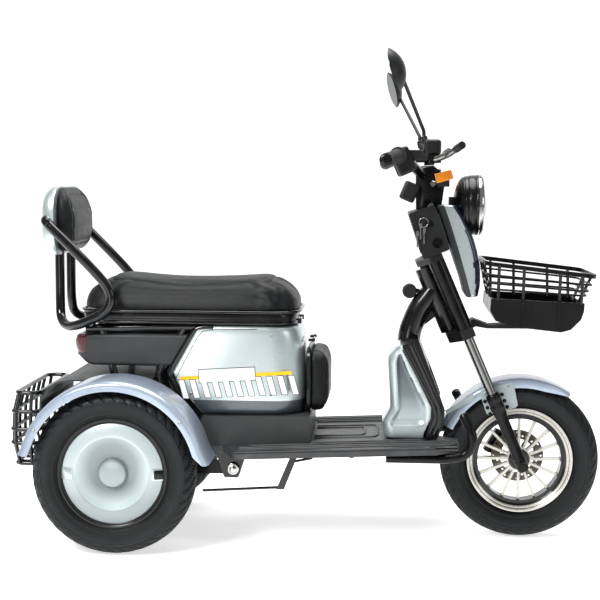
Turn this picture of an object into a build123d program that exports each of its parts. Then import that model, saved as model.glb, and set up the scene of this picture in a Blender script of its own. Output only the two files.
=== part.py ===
from build123d import *

import os
from math import asin, atan2, cos, degrees, hypot, radians, sin, tan

# Electric tricycle: step-through frame, one steered front wheel and two rear wheels.
# +X points forward, +Y to the rider's left and +Z up. The origin is on the floor, midway along
# the overall length. All sizes are in millimetres.

# ---- Overall sizes -------------------------------------------------------------------------
wheelbase = 1038
front_axle_x = 562
tyre_radius = 210
track = 500  # between the middles of the rear tyres
clear = 0.3  # between pieces that nearly touch

rear_axle_x = front_axle_x - wheelbase
axle_z = tyre_radius

# ---- Wheels --------------------------------------------------------------------------------
rim_seat_radius = 127
flange_radius = 139
tyre_width = 80
rear_tyre_width = 86
rim_width = 62
flange_thickness = 4
hub_radius = 24
axle_radius = 8
spoke_count = 16
cap_radius = 136.5
brake_disc_radius = 70

# ---- Steering ------------------------------------------------------------------------------
rake = 23.5  # degrees from the vertical
fork_offset = 30  # of the legs ahead of the steering axis
fork_half_spacing = 86
stanchion_radius = 13
lower_leg_radius = 19
fork_cover_radius = 21
stem_radius = 15
head_tube_radius = 30
lower_yoke_level = 362  # above the axle, along the steering axis
head_tube_length = 180
yoke_thickness = 26
bar_level = 864
bar_ahead = 84  # of the bar's middle before the steering axis
bar_centre_level = 794
bar_half_width = 330
bar_radius = 11
grip_length = 118
grip_radius = 16.5
fender_radius = 223  # outside of the front fender
headlight_x, headlight_z, headlight_radius = 422, 883, 79
headlight_depth = 56
lamp_back = 44  # from the headlight's middle back to its rear face
signal_x, signal_y, signal_z = 346, 122, 957
signal_width = 30

# ---- Frame and floor -----------------------------------------------------------------------
nose_up = 2.4  # degrees: slope of the floor, rising to the front
deck_level = 269  # top of the floor under the origin
deck_half_width = 232
deck_thickness = 20
floor_skin = 8
relay_x = -30  # cross bar that carries the parking brake's lever
deck_front = 392
deck_rear = -178
deck_tail = -300
deck_tail_half_width = 150
deck_rim = 14  # width of the floor's rolled edge
beam_radius = 30
floor_rail_radius = 15
floor_rail_y = 88
wheel_well_radius = 160

# ---- Seat and body -------------------------------------------------------------------------
box_half_width = 140
wall = 4
seat_half_width = 142
seat_corner = 74
seat_bottom = 602
seat_top = 688
seat_front = -18
seat_rear = -594
pan_thickness = 16
hinge_radius = 5
rail_radius = 11
rail_y = seat_half_width - 21  # rails inside the edge of the seat's pan
armrest_y = 168
armrest_radius = 11
backrest_half_width = 134
backrest_joint = -657  # where its shell meets its cushion
rear_fender_radius = 238
rear_fender_inner = box_half_width + 34  # clear of the body and its wider base
rear_fender_outer = 305
fender_skin = 4
wire_radius = 4.5
shock_y = 151
shock_top = 412
seat_rail_top = 571

steer_frame = Location(Plane(
    origin=(front_axle_x - fork_offset * cos(radians(rake)), 0, axle_z - fork_offset * sin(radians(rake))),
    x_dir=(cos(radians(rake)), 0, sin(radians(rake))),
    z_dir=(-sin(radians(rake)), 0, cos(radians(rake))),
))
deck_frame = Location(Plane(
    origin=(0, 0, deck_level),
    x_dir=(cos(radians(nose_up)), 0, sin(radians(nose_up))),
    z_dir=(-sin(radians(nose_up)), 0, cos(radians(nose_up))),
))


# ---- Shape helpers -------------------------------------------------------------------------
def block(x, y, z):
    """A box given as (low, high) along each axis."""
    size = [high - low for low, high in (x, y, z)]
    middle = [(low + high) / 2 for low, high in (x, y, z)]
    return Pos(*middle) * Box(*size)


def outline(points, rounding=0):
    """A closed face through the points, with its corners rounded."""
    face = make_face(Polyline(*points, close=True))
    return fillet(face.vertices(), rounding) if rounding else face


def side_slab(points, half_width, rounding=0):
    """An outline in the XZ plane, half_width thick to each side of the middle."""
    return extrude(Plane.XZ * outline(points, rounding), half_width, both=True)


def side_plate(points, y_low, y_high, rounding=0):
    """An outline in the XZ plane, from y_low to y_high."""
    plate = extrude(Plane.XZ * outline(points, rounding), (y_high - y_low) / 2, both=True)
    return Pos(0, (y_low + y_high) / 2, 0) * plate


def tube(points, radius, bend, bore=0):
    """A round tube along the points, with its corners bent to the given radius."""
    route = Polyline(*points) if len(points) == 2 else FilletPolyline(*points, radius=bend)
    start = Plane(origin=route @ 0, z_dir=route % 0)
    made = sweep(start * Circle(radius), route)
    return made - sweep(start * Circle(bore), route) if bore else made


def rod(start, end, radius):
    """A straight round bar between two points."""
    return tube([start, end], radius, 0)


def along_y(x, z, y_low, y_high, radius):
    """A cylinder whose axis runs across the vehicle."""
    return Pos(x, (y_low + y_high) / 2, z) * Rot(90, 0, 0) * Cylinder(radius, y_high - y_low)


def ring_y(x, z, section):
    """A full turn about a wheel's axle of an outline of (radius, y) points."""
    face = Plane(origin=(x, 0, z), x_dir=(1, 0, 0), z_dir=(0, 0, 1)) * outline(section)
    return revolve(face, axis=Axis((x, 0, z), (0, 1, 0)))


def arc_y(x, z, section, start, end):
    """A part turn about an axle, between two angles measured up from straight ahead."""
    turn = radians(start)
    plane = Plane(origin=(x, 0, z), x_dir=(cos(turn), 0, sin(turn)), z_dir=(-sin(turn), 0, cos(turn)))
    return revolve(plane * outline(section), axis=Axis((x, 0, z), (0, -1, 0)), revolution_arc=end - start)


def dome(edge, base, rise):
    """A circular arc from (edge, base) up to the axis, meeting it squarely."""
    radius = (edge * edge + rise * rise) / (2 * rise)
    half_turn = asin(edge / radius) / 2
    middle = (radius * sin(half_turn), base + rise - radius + radius * cos(half_turn))
    return ThreePointArc((edge, base), middle, (0, base + rise))


def on_wheel(x, z, radius, angle):
    """The X and Z of a point at a radius and angle about an axle."""
    return x + radius * cos(radians(angle)), z + radius * sin(radians(angle))


def mirrored(part):
    """The same piece on the other side."""
    return mirror(part, about=Plane.XZ)


def pair(part):
    """A piece and its mirror image, as two solids."""
    return Compound(children=[part, mirrored(part)])


def steered(u, y, w):
    """A place in the steering frame: u ahead of the axis, w up along it from the axle."""
    return steer_frame * Pos(u, y, w)


def steer_point(u, y, w):
    """The same place as a point of the vehicle."""
    return tuple(steered(u, y, w).position)


def leg(radius, w_low, w_high, y=fork_half_spacing, u=fork_offset):
    """A cylinder along a fork leg between two levels."""
    return steered(u, y, (w_low + w_high) / 2) * Cylinder(radius, w_high - w_low)


def deck_z(x):
    """The height of the floor's top at x."""
    return deck_level + x * tan(radians(nose_up))


# ---- Wheels --------------------------------------------------------------------------------
def tyre_section(width):
    """Half-round tread, bulging sides and beads, as (radius, y) curves closed into a face."""
    bead = rim_width / 2 - flange_thickness
    half = width / 2
    side = (flange_radius + tyre_radius) / 2 - 6
    shoulder = tyre_radius - 13
    seat = rim_seat_radius + clear
    curves = []
    for sign in (1, -1):
        curves.append(Line((seat, sign * (bead - clear)), (flange_radius + 1, sign * (bead - clear))))
        curves.append(ThreePointArc((flange_radius + 1, sign * (bead - clear)), (side, sign * half),
                                    (shoulder, sign * (half - 7))))
    curves.append(ThreePointArc((shoulder, half - 7), (tyre_radius, 0), (shoulder, 7 - half)))
    curves.append(Line((seat, bead - clear), (seat, clear - bead)))
    return make_face(curves)


def tyre(x, y, width):
    face = Plane(origin=(x, y, axle_z), x_dir=(1, 0, 0), z_dir=(0, 0, 1)) * tyre_section(width)
    return revolve(face, axis=Axis((x, y, axle_z), (0, 1, 0)))


def rim_ring(x, y, lip_depth, inner_radius):
    """The barrel of a rim, with its two flanges and the lips inside them."""
    half = rim_width / 2
    bead = half - flange_thickness
    section = [
        (flange_radius, -half), (flange_radius, -bead), (rim_seat_radius, -bead), (rim_seat_radius, bead),
        (flange_radius, bead), (flange_radius, half), (flange_radius - 4, half),
        (inner_radius + 8, half - lip_depth), (inner_radius, half - lip_depth),
        (inner_radius, lip_depth - half), (inner_radius + 8, lip_depth - half), (flange_radius - 4, -half),
    ]
    return Pos(0, y, 0) * ring_y(x, axle_z, section)


def front_rim():
    """Rim, thin spokes and hub of the front wheel, in one casting."""
    inner = 110
    rim = rim_ring(front_axle_x, 0, 11, inner)
    hub_half = 32
    hub = along_y(front_axle_x, axle_z, -hub_half, hub_half, hub_radius)
    collar = along_y(front_axle_x, axle_z, -16, 16, hub_radius + 7)
    spokes = []
    for index in range(spoke_count):
        turn = Rot(0, 360 / spoke_count * index, 0)
        length = inner + 3 - hub_radius + 4
        spoke = Pos((inner + 3 + hub_radius - 4) / 2, 0, 0) * Box(length, 20, 6.5)
        spokes.append(Pos(front_axle_x, 0, axle_z) * turn * spoke)
    bore = along_y(front_axle_x, axle_z, -hub_half - 1, hub_half + 1, axle_radius + clear)
    return (rim + hub + collar + spokes) - bore


def brake_disc():
    """Drilled disc on the left of the front hub, with its carrier arms."""
    y_low, y_high = 32, 36
    disc = ring_y(front_axle_x, axle_z, [(brake_disc_radius - 24, y_low), (brake_disc_radius, y_low),
                                         (brake_disc_radius, y_high), (brake_disc_radius - 24, y_high)])
    centre = along_y(front_axle_x, axle_z, y_low, y_high, hub_radius + 2)
    holes = []
    arms = []
    for index in range(24):
        turn = Pos(front_axle_x, 0, axle_z) * Rot(0, 15 * index, 0)
        reach = brake_disc_radius - 7 - 9 * (index % 2)
        holes.append(turn * Pos(reach, (y_low + y_high) / 2, 0) * Rot(90, 0, 0) * Cylinder(2.6, 8))
        if index % 4 == 0:
            arms.append(turn * Pos(36, (y_low + y_high) / 2, 0) * Box(28, y_high - y_low, 9))
    bore = along_y(front_axle_x, axle_z, y_low - 1, y_high + 1, axle_radius + clear)
    return (disc + centre + arms) - holes - bore


def rear_rim(side):
    """Steel wheel behind the cap: barrel, dished plate and hub boss."""
    y = side * track / 2
    inner = 112
    rim = rim_ring(rear_axle_x, y, 8, inner)
    plate = along_y(rear_axle_x, axle_z, y - 6, y + 6, inner + 3)
    hub_ends = sorted((y - side * 26, y + side * 12))
    hub = along_y(rear_axle_x, axle_z, *hub_ends, 34)
    bore = along_y(rear_axle_x, axle_z, y - 40, y + 40, axle_radius + 4 + clear)
    return (rim + plate + hub) - bore


def wheel_cap(side):
    """Domed disc over the outside of a rear wheel: flat band, shallow dish and centre boss."""
    face = rim_width / 2 + 1 + clear
    section = [
        (0, face - 8), (34, face - 8), (39, face - 13), (96, face + 1), (cap_radius, face + 1),
        (cap_radius, face - 1), (cap_radius - 6, face - 1), (cap_radius - 9, face - 4), (97, face - 4),
        (40, face - 18), (0, face - 18),
    ]
    boss = along_y(rear_axle_x, axle_z, face - 12, face - 3, 31)
    pad_x, pad_z = on_wheel(rear_axle_x, axle_z, 111, 180)
    pad = fillet(block((pad_x - 17, pad_x + 17), (face - 4, face + 6), (pad_z - 19, pad_z + 19))
                 .edges().filter_by(Axis.Y), 8)
    door_x, door_z = on_wheel(rear_axle_x, axle_z, 117, 0)
    door = block((door_x - 12, door_x + 12), (face - 30, face + 30), (door_z - 12, door_z + 12))
    hollow = block((pad_x - 12, pad_x + 12), (face + 2, face + 9), (pad_z - 14, pad_z + 14))
    made = (ring_y(rear_axle_x, axle_z, section) + boss + pad) - door - hollow
    made = Pos(0, track / 2, 0) * made
    return made if side > 0 else mirrored(made)


# ---- Steering ------------------------------------------------------------------------------
stem_top = lower_yoke_level + yoke_thickness + head_tube_length + 14
upper_yoke_level = stem_top - 4


def yoke_plate(level, thickness, reach):
    """A flat plate across both fork legs, with holes that grip them."""
    half = fork_half_spacing + reach
    plan = outline([(-20, -44), (fork_offset - 14, -half), (fork_offset + 20, -half + 3), (52, -38),
                    (52, 38), (fork_offset + 20, half - 3), (fork_offset - 14, half), (-20, 44)], 6)
    plate = extrude(plan, thickness)
    holes = [Pos(fork_offset, y, 0) * Cylinder(stanchion_radius + clear, 4 * thickness)
             for y in (-fork_half_spacing, fork_half_spacing)]
    return steered(0, 0, level) * (plate - holes)


def steering_stem():
    """Steerer through the head tube, with both yokes, the bar's post and the bracket ahead of it."""
    stem = leg(stem_radius, lower_yoke_level, upper_yoke_level + 8, 0, 0)
    lower = yoke_plate(lower_yoke_level, yoke_thickness, 24)
    upper = yoke_plate(upper_yoke_level, 16, 22)
    arms = [signal_arm(), mirrored(signal_arm())]
    return (stem + lower + upper + bar_post(0) + lamp_mount(0) + basket_arm() + arms) - bar_space(0.2)


def bar_post(gap):
    """Upright from the upper yoke to the clamp that holds the handlebar."""
    post = [(278, 980), (314, 980), (314, 880), (346, 764), (316, 750), (280, 870)]
    face = offset(outline(post), gap) if gap else outline(post)
    return extrude(Plane.XZ * face, 24 + gap, both=True)


def lamp_mount(gap):
    """Plate ahead of the bar's post, and the arm from it to the headlight's back."""
    face = headlight_x - lamp_back - clear + gap
    plate = block((321 - gap, 343 + gap), (-18 - gap, 18 + gap), (862 - gap, 976 + gap))
    arm = block((300, 372), (-12 - gap, 12 + gap), (864 - gap, 880 + gap))
    return plate + arm + block((face - 12 - 2 * gap, face), (-20 - gap, 20 + gap), (858 - gap, 904 + gap))


def signal_arm():
    """Arm from the headlight's bracket out to a turn signal, with its foot under the lamp."""
    arm = rod((signal_x - 6, signal_y - 4, signal_z - 17), (332, 10, 938), 6)
    foot = block((signal_x - 14, signal_x + 14), (signal_y - 12, signal_y + 12),
                 (signal_z - 26, signal_z - 8))
    return arm + foot - signal_block(clear)


def signal_block(gap):
    """The room that a turn signal takes, before its corners are rounded."""
    shape = Box(44 + 2 * gap, signal_width + 2 * gap, 24 + 2 * gap)
    return Pos(signal_x, signal_y, signal_z) * Rot(0, -16, 0) * shape


def bar_route():
    """Points along the middle of the handlebar: swept back at the grips, ahead of the axis between."""
    half = [(bar_sweep(bar_half_width), bar_half_width, bar_level), (bar_sweep(165), 165, bar_level),
            (bar_ahead, 50, bar_centre_level)]
    route = [steer_point(*point) for point in half]
    return route + [(x, -y, z) for x, y, z in reversed(route)]


def bar_sweep(y):
    """How far the outer part of the bar is ahead of the steering axis."""
    return 43 - 0.271 * (y - (bar_half_width - grip_length))


def bar_space(gap):
    """The handlebar, grown by a gap."""
    return tube(bar_route(), bar_radius + gap, 34)


def fork_cover():
    """Sleeve round the upper part of a fork leg."""
    low = lower_yoke_level + yoke_thickness + clear
    high = upper_yoke_level - clear
    return leg(fork_cover_radius, low, high) - leg(stanchion_radius + clear, low - 1, high + 1)


def stanchion():
    """Polished inner tube of a fork leg."""
    return leg(stanchion_radius, 110, upper_yoke_level + 14)


def fork_lower():
    """Outer tube of a fork leg, with its axle lug and the fender's lugs."""
    top = 226
    tube_body = leg(lower_leg_radius, -2, top)
    collar = leg(lower_leg_radius + 3, top - 22, top)
    lug = along_y(front_axle_x, axle_z, fork_half_spacing - 20, fork_half_spacing + 20, 21)
    ears = [steered(fork_offset + 22 * side, fork_half_spacing, level) * Box(16, 12, 10)
            for level in (150, 176, 202) for side in (-1, 1)]
    bore = leg(stanchion_radius + clear, 110 - clear, top + 1)
    axle_hole = along_y(front_axle_x, axle_z, 0, 200, axle_radius + 0.1)
    return (tube_body + collar + lug + ears) - bore - axle_hole


def front_axle():
    """Spindle through both fork lugs, with its nuts and the two hub spacers."""
    half = fork_half_spacing + 30
    spindle = along_y(front_axle_x, axle_z, -half, half, axle_radius)
    nut = along_y(front_axle_x, axle_z, fork_half_spacing + 20 + clear, half - 4, 13)
    spacer = along_y(front_axle_x, axle_z, 40, fork_half_spacing - 20 - clear, 13)
    return spindle + nut + mirrored(nut) + spacer + mirrored(spacer)


def brake_caliper():
    """Two-piston caliper round the disc, on lugs of the left fork leg."""
    x, z = on_wheel(front_axle_x, axle_z, brake_disc_radius - 6, 150)
    body = Pos(x, 44, z) * Rot(0, -60, 0) * Box(66, 34, 44)
    slot = ring_y(front_axle_x, axle_z, [(0, 26), (brake_disc_radius + 6, 26), (brake_disc_radius + 6, 41),
                                         (0, 41)])
    lug_start, lug_end = 52, fork_half_spacing - lower_leg_radius + 1
    lug = Pos(x + 4, (lug_start + lug_end) / 2, z + 6) * Rot(0, -60, 0) * Box(50, lug_end - lug_start, 24)
    return (body + lug) - slot - leg(lower_leg_radius + clear, -20, 200)


def front_fender():
    """Curved mudguard over the front tyre, with lips at its sides and a plate to each fork leg."""
    outer, inner = fender_radius, fender_radius - fender_skin
    half, lip = tyre_width / 2 + 12, fender_radius - 26
    section = [(outer, -half + 9), (outer, half - 9), (outer - 4, half), (lip, half),
               (lip, half - 3), (inner - 5, half - 3), (inner, half - 11), (inner, 11 - half),
               (inner - 5, 3 - half), (lip, 3 - half), (lip, -half), (outer - 4, -half)]
    skin = arc_y(front_axle_x, axle_z, section, 57, 150)
    mount = [on_wheel(front_axle_x, axle_z, outer - 8, 121), on_wheel(front_axle_x, axle_z, outer - 8, 97),
             on_wheel(front_axle_x, axle_z, 148, 94), on_wheel(front_axle_x, axle_z, 154, 126)]
    plate = side_plate(mount, half - 0.5, half + 3.5, 6)
    for radius in (160, 184):
        x, z = on_wheel(front_axle_x, axle_z, radius, 90 + rake)
        plate += along_y(x, z, half, fork_half_spacing - lower_leg_radius - clear, 6)
    return skin + plate + mirrored(plate)


def handlebar():
    return bar_space(0)


def grip():
    """Ribbed rubber grip over the bar's end, with a flange at its inner end."""
    def place(y):
        return steer_point(bar_sweep(y), y, bar_level)
    low = bar_half_width - grip_length
    body = rod(place(low), place(bar_half_width + 5), grip_radius)
    flange = rod(place(low), place(low + 6), grip_radius + 5)
    return (body + flange) - rod(place(low - 9), place(bar_half_width + 0.1), bar_radius + clear)


housing_y = bar_half_width - grip_length - 26


def switch_housing():
    """Switch box round the bar inside a grip, and the lever's clamp with its cup ahead of the bar."""
    body = steered(bar_sweep(housing_y), housing_y, bar_level - 18) * Box(46, 44, 66)
    body = fillet(body.edges(), 7)
    neck = block((248, 306), (housing_y - 11, housing_y + 11), (996, 1022))
    cup = fillet(block((292, 335), (housing_y - 22, housing_y + 18), (1009, 1048)).edges(), 8)
    boss = rod((296, housing_y - 2, 1036), (292, housing_y - 2, 1056), 8)
    return (body + neck + cup + boss) - bar_space(clear)


def brake_lever():
    """Bent lever ahead of a grip, with a rounded sleeve at its tip."""
    far = (378, bar_half_width - 16, 1030)
    blade = tube([(322, housing_y + 22, 996), (350, housing_y + 52, 1010), far], 5.5, 24)
    sleeve = rod((362, bar_half_width - 76, 1019), far, 7.5) + Pos(*far) * Sphere(7.5)
    hub = block((306 + clear, 334), (housing_y + 4, housing_y + 30), (988, 1009 - clear))
    return blade + sleeve + hub


def mirror_place(side=1):
    """The middle of a mirror's glass."""
    return (217, side * 338, 1206)


def mirror_stem():
    """Thin stem from the lever's cup out to the back of the mirror."""
    x, y, z = mirror_place()
    foot = (292, housing_y - 2, 1056 + clear)
    return tube([foot, (292, housing_y - 2, 1068), (x + 19, y - 7, z - 20)], 4.5, 10)


mirror_turn = (0, -16, 12)  # leaning back and facing a little inward


def mirror_shell():
    """Domed back of a mirror, turned to face the rider."""
    shape = Rot(0, 90, 0) * revolve(Plane.XZ * make_face([
        Line((0, 0), (52, 0)), dome(52, 0, 25), Line((0, 25), (0, 0))]), axis=Axis.Z)
    return Location(mirror_place(), mirror_turn) * scale(shape, by=(1, 0.9, 1.0))


def mirror_glass():
    glass = scale(Rot(0, 90, 0) * Cylinder(48, 2), by=(1, 0.9, 1.0))
    return Location(mirror_place(), mirror_turn) * Pos(-1 - clear, 0, 0) * glass


def instrument_box():
    """Dial housing behind the bar's post."""
    body = Pos(262, 0, 917) * Rot(0, 23, 0) * Box(40, 104, 50)
    return fillet(body.edges(), 6) - bar_post(clear) - bar_space(clear)


def headlight_bowl():
    """Round lamp shell, closed at the back, with a chromed mouth."""
    profile = [Line((0, -8), (26, -8)),
               ThreePointArc((26, -8), (62, 12), (headlight_radius, headlight_depth)),
               Line((headlight_radius, headlight_depth), (headlight_radius - 4, headlight_depth)),
               ThreePointArc((headlight_radius - 4, headlight_depth), (58, 16), (26, -3)),
               Line((26, -3), (0, -3)), Line((0, -3), (0, -8))]
    bowl = revolve(Plane.XZ * make_face(profile), axis=Axis.Z)
    return headlight_place() * bowl


def headlight_place():
    return Location((headlight_x - lamp_back + 8, 0, headlight_z), (0, 90, 0))


def headlight_lens():
    """Slightly domed clear lens with the chromed ring round it."""
    edge, depth = headlight_radius - 5 - clear, headlight_depth
    profile = [Line((0, depth - 6), (edge, depth - 6)), Line((edge, depth - 6), (edge, depth)),
               dome(edge, depth, 18),
               Line((0, depth + 18), (0, depth - 6))]
    return headlight_place() * revolve(Plane.XZ * make_face(profile), axis=Axis.Z)


def lamp_hollow(gap):
    """The room that the headlight takes."""
    return headlight_place() * Pos(0, 0, 28) * Cylinder(headlight_radius + gap, 2 * 46)


fairing_half_width = 78
ignition_half_width = fork_half_spacing + fork_cover_radius + 7
fairing_rear = [(333, 876), (409, 650)]


def front_fairing():
    """Narrow bulging cover in front of the fork, under the headlight."""
    front = [(441, 646), (447, 677), (446, 727), (428, 801), (400, 856), (378, 886)]
    body = side_slab([fairing_rear[0], fairing_rear[1], *front], fairing_half_width)
    (x0, z0), (x1, z1) = fairing_rear
    inner = [(x0 - 20, z0 - 1), (x1 - 20, z1 - 8), (432, 640), (440, 680), (439, 724), (421, 797), (394, 850),
             (372, 876)]
    cavity = side_slab(inner, fairing_half_width - wall)
    return body - cavity - lamp_hollow(2) - lamp_mount(clear)


def fairing_trim():
    """Bright panel along each side of the fairing."""
    points = [(351, 874), (370, 840), (391, 771), (412, 699), (426, 653), (436, 655), (437, 704), (431, 765),
              (412, 826), (385, 868)]
    return side_plate(points, fairing_half_width + clear, fairing_half_width + 4)


def ignition_cover():
    """Cover behind the fairing, round the top of the fork, leaning with it."""
    body = side_slab([(258, 862), (326, 883), (365, 771), (298, 745)], ignition_half_width, 6)
    inner = [(266, 856), (320, 873), (364, 745), (302, 722)]
    return body - side_slab(inner, ignition_half_width - wall) - lamp_mount(clear) - bar_post(clear)


def ignition_lock():
    """Barrel and key in the side of the cover."""
    x, z = 314, 836
    y = -ignition_half_width
    barrel = along_y(x, z, y - 6, y - clear, 9)
    key = block((x - 2, x + 2), (y - 26, y - 5), (z - 6, z + 6))
    port = along_y(x + 18, z - 48, y - 5, y - clear, 11)
    return Compound(children=[barrel + key, port])


def turn_signal():
    """Amber lamp on a short arm beside the headlight."""
    lamp = signal_block(0)
    return fillet(lamp.edges().sort_by(Axis.X)[-4:], 4)


def basket_arm():
    """Bracket from the lower yoke to the floor of the front basket."""
    points = [(424, 556), (418, 574), (434, 585), (476, 569), (543, 573.4), (600, 567.6), (600, 561),
              (470, 560), (440, 565)]
    return side_slab(points, 26)


# Each of the front basket's two ends, at its rim and at the top of its tub: x, z and half the width.
basket_rim = [(454, 733), (735, 701), 138]
basket_waist = [(471, 648), (707, 638), 121]
basket_ribs = (552, 643)  # x of the broad uprights in its sides
tub_under = [(469, 616), (484, 590), (543, 574), (650, 563), (674, 570), (699, 596), (706, 617)]


def basket_at(level):
    """The back and front of the basket's wall and half its width: level 0 is its tub's top, 1 its rim."""
    def between(low, high):
        return low + (high - low) * level
    back, front = [tuple(between(a, b) for a, b in zip(basket_waist[i], basket_rim[i])) for i in (0, 1)]
    return back, front, between(basket_waist[2], basket_rim[2])


def basket_ring(level, height, thick):
    """A rounded rectangular band of the front basket."""
    (x_low, z_back), (x_high, z_front), half = basket_at(level)
    length = hypot(x_high - x_low, z_back - z_front)
    place = Location(((x_low + x_high) / 2, 0, (z_back + z_front) / 2),
                     (0, degrees(atan2(z_back - z_front, x_high - x_low)), 0))
    plan = RectangleRounded(length, 2 * half, 26)
    plan -= RectangleRounded(length - 2 * thick, 2 * (half - thick), 26 - thick)
    return place * extrude(plan, height)


def basket_tub():
    """Closed lower part of the front basket, with broadly rounded ends."""
    face = outline([*tub_under, basket_waist[1], basket_waist[0]])
    hollow = offset(face, -wall)
    mouth = side_slab([(475, 625), (702, 618), (702, 660), (475, 660)], basket_waist[2] - wall)
    return (extrude(Plane.XZ * face, basket_waist[2], both=True)
            - extrude(Plane.XZ * hollow, basket_waist[2] - wall, both=True) - mouth)


def basket_point(level, x, end=0):
    """A point on the right wall at x, or on the back (end -1) or front (end 1) wall.

    On an end wall x is the share of its half width."""
    back, front, half = basket_at(level)
    if end:
        corner = front if end > 0 else back
        return (corner[0] - end * 3, half * x, corner[1])
    share = (x - back[0]) / (front[0] - back[0])
    return (x, half - 3, back[1] + (front[1] - back[1]) * share)


def front_basket():
    """Open cage over a closed tub: a broad rim, level bars and a few thick uprights."""
    made = basket_tub() + basket_ring(1, 11, 6)
    for level in (0.26, 0.44, 0.7):
        made = made + basket_ring(level, 5, 5)
    bars = []
    for x in (489, *basket_ribs, 699):
        bars.append(rod(basket_point(-0.1, x), basket_point(1.06, x), 4))
    for x in basket_ribs:
        bars.append(block((x - 4, x + 4), (basket_waist[2] - 1, basket_waist[2] + 4), (574, 646)))
    ends = [rod(basket_point(-0.1, share, end), basket_point(1.06, share, end), 4)
            for share in (-0.4, 0.4) for end in (-1, 1)]
    return made + bars + [mirrored(bar) for bar in bars] + ends


# ---- Frame ---------------------------------------------------------------------------------
def head_tube():
    low = lower_yoke_level + yoke_thickness + 1
    return leg(head_tube_radius, low, low + head_tube_length, 0, 0)


def head_tube_room(gap):
    low = lower_yoke_level + yoke_thickness + 1
    return leg(head_tube_radius + gap, low, low + head_tube_length, 0, 0)


beam_foot = (262, 236)


def main_frame():
    """Head tube, curved front beam, floor rails, cross members and swing arm lugs."""
    foot_x, _ = beam_foot
    drop = floor_skin + clear + floor_rail_radius
    rail_end = deck_tail + deck_rim + 6
    rail = tube([(foot_x - 4, 0, deck_z(foot_x) - drop), (foot_x - 4, floor_rail_y, deck_z(foot_x) - drop),
                 (rail_end, floor_rail_y, deck_z(rail_end) - drop)], floor_rail_radius, 50)
    crossbars = [along_y(x, deck_z(x) - drop, -170, 170, 13) for x in (120, relay_x)]
    crossbars.append(along_y(240, deck_z(240) - drop - 2, clear - 204 + 10.5, 204 - 10.5 - clear, 12))
    crossbars.append(along_y(rail_end + 12, deck_z(rail_end + 12) - drop, -floor_rail_y, floor_rail_y, 15))
    crossbars.append(along_y(-200, deck_z(-200) - drop, -132, 132, 11))
    brackets = [side_plate([(-238, 250), (-150, 250), (-175, 172), (-212, 172)], y, y + 8, 6)
                for y in (-132, -106, 98, 124)]
    gusset = side_slab([(283, 566), (304, 563), (346, 596), (346, 640), (300, 626)], 5)
    body = head_tube() + beam_room(0) + gusset + rail + mirrored(rail) + crossbars + brackets
    cut = leg(stem_radius + clear, 300, 700, 0, 0)
    pivot = along_y(-188, 197, -200, 200, 8 + clear)
    return body - cut - pivot - deck_room()


def deck_room():
    """Everything above the floor's underside, where the frame must not reach, but for the beam."""
    under = floor_skin + clear
    room = deck_frame * Pos(-25, 0, 60 - under) * Box(560, 520, 120)
    return room - leg_column(beam_radius + 2)


def leg_column(radius):
    """An upright round column at the foot of the beam."""
    foot_x, _ = beam_foot
    return Pos(foot_x, 0, 300) * Cylinder(radius, 400)


def swing_arm():
    """Two arms from the pivot back to the axle housing, with the pivot's bush and bolt."""
    arm_outline = [(-172, 214), (-172, 184), (-205, 180), (-430, 176), (-470, 186), (-470, 214), (-430, 208),
                   (-215, 214)]
    arm = side_plate(arm_outline, 108, 122, 4) + along_y(-188, 197, 106 + clear, 124 - clear, 15)
    bush = along_y(-188, 197, -68, 68, 15)
    bolt = along_y(-188, 197, -142, 142, 8)
    return arm + mirrored(arm) + bush + bolt


def rear_axle():
    """Axle housing with the motor and gear case in the middle, and the two stub axles."""
    housing = along_y(rear_axle_x, axle_z, -172, 172, 26)
    case = along_y(rear_axle_x, axle_z, -70, 80, 72)
    motor = along_y(rear_axle_x + 92, axle_z + 6, -62, 62, 56)
    bridge = block((rear_axle_x, rear_axle_x + 92), (-55, 55), (axle_z - 34, axle_z + 40))
    stub = along_y(rear_axle_x, axle_z, 170, track / 2 + 12, axle_radius + 4)
    drum = along_y(rear_axle_x, axle_z, 176, 212, 62)
    seat = block((rear_axle_x - 34, rear_axle_x + 10), (shock_y - 18, shock_y + 18),
                 (axle_z + 10, axle_z + 30))
    made = housing + case + motor + bridge + stub + mirrored(stub) + drum + mirrored(drum)
    made = made + seat + mirrored(seat)
    return made - arm_room()


def arm_room():
    """Room for the swing arm beside the axle housing."""
    room = block((-480, -150), (107.7, 122.3), (150, 215))
    return room + mirrored(room)


def floor_deck():
    """Sloping footboard: a flat plate with a rolled edge, ribs, and a recess for the front wheel."""
    half, tail = deck_half_width, deck_tail_half_width
    plan = make_face(Polyline((deck_tail, -tail), (deck_rear - 30, -tail), (deck_rear, -half),
                              (deck_front - 60, -half), (deck_front, -half + 46), (deck_front, half - 46),
                              (deck_front - 60, half), (deck_rear, half), (deck_rear - 30, tail),
                              (deck_tail, tail), close=True))
    plan = fillet(plan.vertices(), 12)
    plate = extrude(plan, -deck_thickness)
    hollow = extrude(offset(plan, -deck_rim), -deck_thickness)
    plate = plate - Pos(0, 0, -floor_skin) * hollow
    ribs = [Pos(172, y, 1) * Box(300, 5, 4) for y in (-190, -165, -140, 140, 165, 190)]
    made = deck_frame * (plate + ribs)
    return made - leg(wheel_well_radius, -300, 300, 0, 0) - leg_column(beam_radius + 4)


def side_guard():
    """Bent tube along the lower front corner of the floor."""
    y = 204
    z = deck_z(250) - deck_thickness - 12
    points = [(208, y, z), (356, y, z), (410, y, z + 20), (424, y, z + 74), (386, y - 36, 382)]
    strap = rod((388, y - 36, 378), (349, shield_half_width + 5.5, 372), 5)
    return tube(points, 10.5, 18) + strap


shield_half_width = 150
# Where the inner and outer shields meet.
shield_joint = [(244, 528), (273, 470), (298, 419), (324, 367), (322, 336), (306, deck_z(306) + 5)]


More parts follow.
